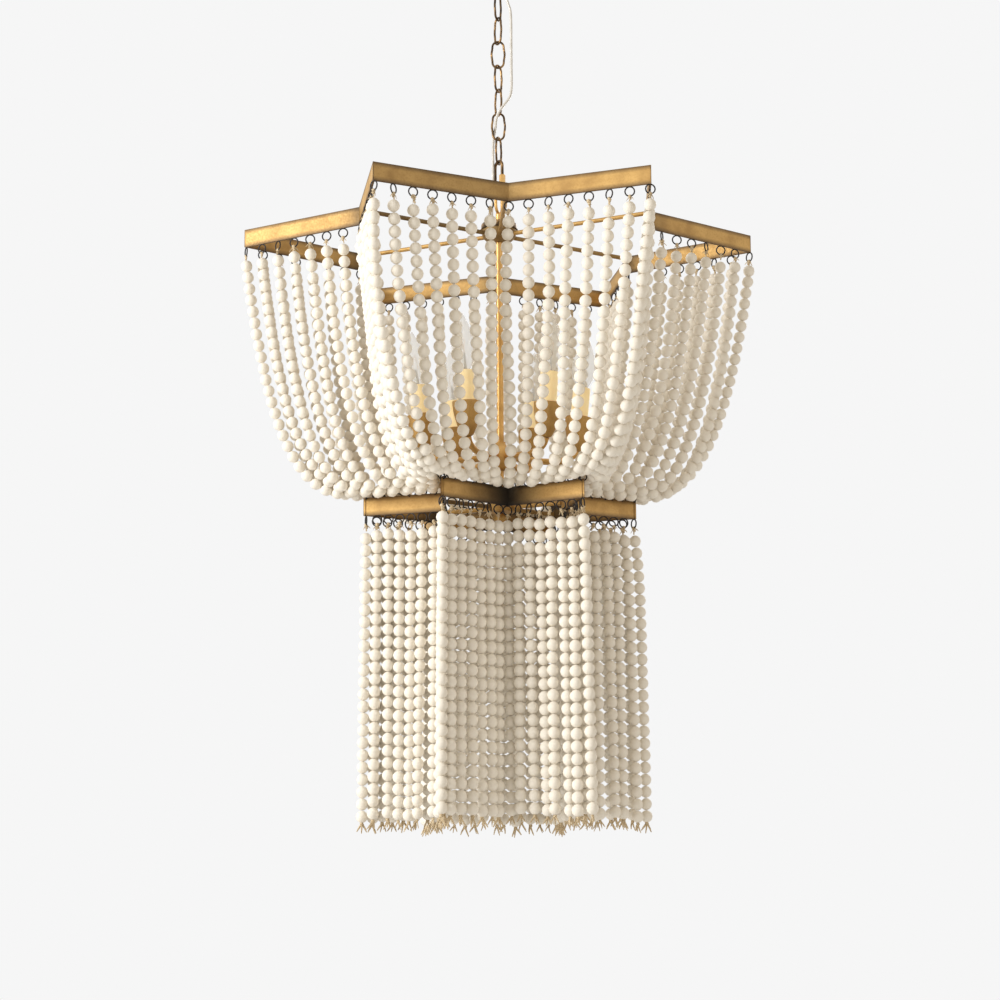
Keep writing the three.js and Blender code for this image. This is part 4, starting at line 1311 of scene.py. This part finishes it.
    def beads(self, tier: str, number: int, centres: Array, axes: Array) -> None:
        """Put a bead at each centre, with its hole along the strand and its own tone and size.

        Args:
            tier: Which tier the strands belong to, "swag" or "fringe".
            number: The point of the star that they hang at.
            centres: Where the beads are (M, 3).
            axes: Directions of the strand there (M, 3).
        """
        count = len(centres)
        size = 1 + self.random.normal(0, self.size_spread, count).clip(*self.size_range)
        basis = self.spun(axes, self.random.uniform(0, TAU, count)) * size[:, None, None]
        tone = self.random.beta(*self.tone_curve, count)
        centres = centres + self.random.normal(0, self.place_spread, (count, 3))
        surface = repeated(self.bead_template(), centres, basis, {"tone": tone})
        piece(f"{tier}_beads_{number}", surface, WOOD, Body.LIGHT, f"{tier}_{number}", sharp=60)

    def catenary(self, run: Array, rise: Array, arrival: Array) -> tuple[Array, Array, Array]:
        """Hanging curves y = c cosh(x / c) that come in at a slope: solved for c by halving.

        Args:
            run: Level distance of each strand (M,).
            rise: Height of its upper end over its lower one (M,).
            arrival: Slope at the lower end in degrees (M,).

        Returns:
            The curve's start and end as x / c, and c.
        """
        start = np.arcsinh(np.tan(np.radians(arrival)))
        low, high = (start + reach for reach in self.search_span)
        for _ in range(self.halvings):
            middle = (low + high) / 2
            flat = (np.cosh(middle) - np.cosh(start)) / (middle - start) < rise / run
            low, high = np.where(flat, middle, low), np.where(flat, high, middle)
        return start, low, run / (low - start)

    def swag_ends(self) -> tuple[Array, Array, Array]:
        """Upper and lower ends of the swag strands; each one's line runs clear of the lower strap.

        Returns:
            Upper ends and lower ends (6, 14, 3), and the level directions from the lower to the upper.
        """
        tops, _ = self.upper.places()
        feet, _ = self.lower.places()
        level = tops - feet
        level[..., 2] = 0
        outward = unit(level)
        tip = SIDE_STRANDS - 1
        before = unit(feet[:, tip - 1:tip] - feet[:, tip:tip + 1])
        after = unit(feet[:, tip + 1:tip + 2] - feet[:, tip:tip + 1])
        strap = np.where(OFFSETS[None, :, None] < 0, before, after)
        square = np.sqrt(1 - np.einsum("psk,psk->ps", outward, strap) ** 2)
        at_tip = self.swag_end_reach + self.lower.thickness
        reach = np.where(OFFSETS == 0, at_tip, self.swag_end_reach / square)
        ends = feet + outward * reach[..., None]
        rises = np.array(self.swag_rise_shares)[np.abs(OFFSETS)] * self.bead
        spread = self.random.normal(0, self.swag_level_spread, reach.shape)
        ends[..., 2] = self.heights.lower_top + rises + spread
        tops[..., 2] = self.heights.star_bottom - self.swag_hang
        return tops, ends, outward

    def swags(self) -> tuple[Array, Array]:
        """Thread the swag strands, point by point, with a bead at equal steps of each curve's length.

        Returns:
            The lower ends of the strands, and the directions in which they leave.
        """
        tops, ends, outward = self.swag_ends()
        run = np.linalg.norm((tops - ends)[..., :2], axis=-1)
        past_tip = np.maximum(np.abs(OFFSETS) - 1, 0) / (SIDE_STRANDS - 1)
        arrival = self.tip_arrival + past_tip * (self.notch_arrival - self.tip_arrival)
        arrival = arrival + self.random.uniform(-self.arrival_spread, self.arrival_spread, run.shape)
        start, end, scale = self.catenary(run, tops[..., 2] - ends[..., 2], arrival)
        counts = np.round(scale * (np.sinh(end) - np.sinh(start)) / self.bead).astype(int)
        sway = self.random.normal(0, self.swag_sway, run.shape + (2,))
        shift = self.random.uniform(*self.swag_shift, run.shape)
        across = np.cross(UP, outward)
        for point in range(6):
            centres, axes = [], []
            for index in ((point, strand) for strand in range(len(OFFSETS))):
                share = (np.arange(counts[index]) + shift[index]) / counts[index]
                arc = np.sinh(start[index]) + share * (np.sinh(end[index]) - np.sinh(start[index]))
                place = np.arcsinh(arc)
                out = scale[index] * (place - start[index])
                rise = scale[index] * (np.cosh(place) - np.cosh(start[index]))
                side = sway[index] @ np.sin(np.pi * np.array([[1.0], [2.0]]) * share)
                centres.append(ends[index] + out[:, None] * outward[index] + rise[:, None] * UP
                               + side[:, None] * across[index])
                axes.append(unit(outward[index] + arc[:, None] * UP))
            self.beads("swag", point + 1, np.concatenate(centres), np.concatenate(axes))
        log.info("swag strands have %d to %d beads", counts.min(), counts.max())
        slope = np.radians(arrival)[..., None]
        return ends, outward * np.cos(slope) + UP * np.sin(slope)

    def fringe(self) -> Array:
        """Thread the strands below the lower star, which flare a little, and lean out on the right.

        Returns:
            The lower ends of the strands (6, 14, 3).
        """
        place, _ = self.lower.places()
        flare = self.fringe_flare * unit(place[..., :2]) + [self.fringe_swing, 0]
        lean = self.fringe_lean * np.clip(place[..., 0] / place[..., 0].max(), 0, 1) ** 2
        top = self.heights.lower_bottom - self.fringe_hang
        steps = np.arange(self.fringe_beads) + 0.5
        sway = self.random.normal(0, self.fringe_sway, place.shape[:2] + (2,)) + flare
        limit = 2 * self.fringe_drop
        drop = self.random.normal(0, self.fringe_drop, place.shape[:2]).clip(-limit, limit)
        share, onset = steps / self.fringe_beads, 1 - np.exp(-steps / 2)
        for point in range(6):
            centres = np.repeat(place[point][:, None], self.fringe_beads, 1)
            centres[..., :2] += share[None, :, None] * sway[point][:, None]
            centres[..., 0] += onset * lean[point][:, None]
            centres[..., 2] = top - self.bead * steps + drop[point][:, None]
            axes = np.broadcast_to(UP, centres.shape).reshape(-1, 3)
            self.beads("fringe", point + 1, centres.reshape(-1, 3), axes)
        bottoms = place.copy()
        bottoms[..., :2] += sway
        bottoms[..., 0] += lean
        bottoms[..., 2] = top - self.fringe_beads * self.bead + drop
        return bottoms

    def rings(self, name: str, places: Array, along: Array) -> None:
        """Hang a wire ring at each place, each turned a little from the strap's direction."""
        swing = self.random.uniform(-self.ring_swing, self.ring_swing, len(places))[:, None]
        first = along * np.cos(swing) + np.cross(UP, along) * np.sin(swing)
        basis = np.stack([first, np.cross(UP, first), np.broadcast_to(UP, first.shape)], 1)
        piece(name, repeated(self.ring_template(), places, basis, {}), WIRE, Body.LIGHT, sharp=80)

    def knots(self, name: str, template: Surface, places: Array, axes: Array) -> None:
        """Tie a knot at each place, with its neck against the axis and its ends turned at random."""
        count = len(places)
        leaning = unit(axes + self.random.normal(0, self.knot_lean, (count, 3)))
        basis = self.spun(leaning, self.random.uniform(0, TAU, count))
        basis = basis * self.random.uniform(*self.knot_sizes, count)[:, None, None]
        piece(name, repeated(template, places, basis, {}), TWINE, Body.LIGHT, sharp=80)

    def twines(self, name: str, starts: Array, ends: Array) -> None:
        """Stretch two slack threads of twine from each start to its end; their middles stand apart."""
        t = np.linspace(0, 1, 5)[:, None]
        threads = []
        for start, end in zip(np.repeat(starts, 2, 0), np.repeat(ends, 2, 0)):
            path = start * (1 - t) + end * t + 4 * t * (1 - t) * self.random.normal(0, self.twine_slack, 3)
            threads.append(swept(path, self.twine, self.twine_sides, False, np.array(self.thread_aside)))
        piece(name, joined(threads), TWINE, Body.LIGHT, sharp=80)

    def build(self) -> None:
        """Thread both tiers, then tie them."""
        h, ring = self.heights, self.ring_radius
        ends, leaving = (a.reshape(-1, 3) for a in self.swags())
        bottoms = self.fringe().reshape(-1, 3)
        upper, upper_along = (a.reshape(-1, 3) for a in self.upper.places())
        lower, lower_along = (a.reshape(-1, 3) for a in self.lower.places())
        ups = np.broadcast_to(UP, upper.shape)
        knot, tail = self.knot_template(), self.tail_template()
        self.rings("upper_rings", upper + UP * (h.star_bottom - ring), upper_along)
        self.knots("upper_knots", knot, upper + UP * (h.star_bottom - 2 * ring), ups)
        self.rings("fringe_rings", lower + UP * (h.lower_bottom - ring), lower_along)
        self.knots("fringe_knots", knot, lower + UP * (h.lower_bottom - 2 * ring), ups)
        self.rings("swag_end_rings", lower + UP * (h.lower_top + self.end_ring_rise * ring), lower_along)
        self.knots("swag_end_knots", knot, ends - leaving * self.knot_seat, -leaving)
        self.twines("swag_end_twines", lower + UP * (h.lower_top + ring), ends)
        self.knots("fringe_end_knots", tail, bottoms - UP * self.tail_seat, ups)


# Camera and light


@dataclass
class AreaLamp:
    """A square soft lamp: where it stands, its size, its power in watts and its colour."""

    name: str
    place: tuple
    size: float
    watts: float
    colour: tuple

    def build(self, aim: tuple) -> None:
        """Make the lamp face a point: its own Z axis points away from it."""
        data = bpy.data.lights.new(self.name, "AREA")
        data.size, data.energy, data.color = self.size, self.watts, self.colour
        obj = bpy.data.objects.new(self.name, data)
        bpy.context.scene.collection.objects.link(obj)
        back = unit(np.array(self.place) - np.array(aim))
        right = unit(np.cross(UP, back))
        obj.matrix_world = placing(np.stack([right, np.cross(back, right), back]), self.place)


def placing(axes: Array, place: tuple | Array) -> Matrix:
    """The matrix of an object whose three axes are given in rows, at a place."""
    matrix = np.eye(4)
    matrix[:3, :3] = axes.T
    matrix[:3, 3] = place
    return Matrix(matrix.tolist())


@dataclass
class Studio:
    """Camera at the photograph's angle, a pale floor far below, and soft light from the front left."""

    lens: float = 84.75
    sensor: float = 36.0
    sight: float = 100.0
    place: tuple = (-0.00073, -3.1798, -1.3997)
    turn: float = -3.25
    pitch: float = 10.24
    roll: float = -0.31
    floor: float = -3.3
    floor_half: float = 9.0
    backdrop: float = BACKDROP
    world_colour: tuple = (1.0, 0.89, 0.73)
    world_strength: float = 0.54
    aim: tuple = (0.0, 0.0, -0.85)
    lamps: tuple = (
        AreaLamp("key", (-3.3, -1.5, 0.2), 1.5, 112.0, (0.95, 0.975, 1.0)),
        AreaLamp("low", (-2.9, -1.5, -1.5), 0.8, 24.0, (1.0, 0.97, 0.93)),
        AreaLamp("back", (1.4, 3.0, 0.1), 1.8, 40.0, (1.0, 0.97, 0.92)),
        AreaLamp("fill", (2.6, -1.8, -0.6), 1.8, 14.0, (1.0, 0.98, 0.96)))

    def camera(self) -> None:
        """Point the camera: its axes come from the pitch, the roll and the turn round Z."""
        a, r = math.radians(self.pitch), math.radians(self.roll)
        right, look = np.array([1.0, 0.0, 0.0]), np.array([0.0, math.cos(a), math.sin(a)])
        upright = np.cross(right, look)
        x = math.cos(r) * right + math.sin(r) * upright
        y = math.cos(r) * upright - math.sin(r) * right
        data = bpy.data.cameras.new("camera")
        data.lens, data.sensor_width = self.lens, self.sensor
        data.clip_end = self.sight
        obj = bpy.data.objects.new("camera", data)
        bpy.context.scene.collection.objects.link(obj)
        place = turned(np.array([self.place]), self.turn)[0]
        obj.matrix_world = placing(turned(np.stack([x, y, -look]), self.turn), place)
        bpy.context.scene.camera = obj

    def ground(self) -> None:
        """A flat pale floor."""
        mesh = bpy.data.meshes.new("floor")
        corners = [(-1, -1), (1, -1), (1, 1), (-1, 1)]
        mesh.from_pydata([(x * self.floor_half, y * self.floor_half, self.floor) for x, y in corners], [],
                         [(0, 1, 2, 3)])
        obj = bpy.data.objects.new("floor", mesh)
        bpy.context.scene.collection.objects.link(obj)
        mesh.materials.append(FLOOR.material())

    def world(self) -> None:
        """A pale world: plain light for the object, and the backdrop for what the camera sees in it."""
        world = bpy.data.worlds.new("studio")
        bpy.context.scene.world = world
        world.use_nodes = True
        tree = world.node_tree
        tree.nodes.clear()
        output, mix = tree.nodes.new("ShaderNodeOutputWorld"), tree.nodes.new("ShaderNodeMixShader")
        lit, seen = tree.nodes.new("ShaderNodeBackground"), tree.nodes.new("ShaderNodeBackground")
        lit.inputs["Color"].default_value = (*self.world_colour, 1.0)
        lit.inputs["Strength"].default_value = self.world_strength
        seen.inputs["Color"].default_value = (self.backdrop,) * 3 + (1.0,)
        for index, socket in enumerate((view_rays(tree), lit.outputs[0], seen.outputs[0])):
            tree.links.new(socket, mix.inputs[index])
        tree.links.new(mix.outputs[0], output.inputs[0])

    def build(self) -> None:
        """Set the view, then the floor, world and lamps."""
        bpy.context.scene.view_settings.view_transform = "Standard"
        self.camera()
        self.ground()
        self.world()
        for lamp in self.lamps:
            lamp.build(self.aim)


def main() -> None:
    """Build the studio, the cord and then each sub-assembly, from the ceiling down."""
    logging.basicConfig(level=logging.INFO, format="%(name)s: %(message)s")
    heights = Heights()
    upper = Star("upper_star", 0.355, 0.226, heights.star_top, 0.0)
    # The lower star's last two tables are its painted shade at the notches and how far that reaches
    lower = Star("lower_star", 0.188, 0.094, heights.lower_top, 2.5,
                 (0.8, 0.6, 0.9, 0.1, 0.97, 0.1), ((0.062, 0.042),) * 6)
    Studio().build()
    SupplyCord(heights).build()
    CeilingFitting(heights).build()
    Chain(heights).build()
    FrameWork(heights, upper, lower).build()
    Lights(heights, lower.turn).build()
    BeadWork(heights, upper, lower).build()


if __name__ == "__main__":
    main()
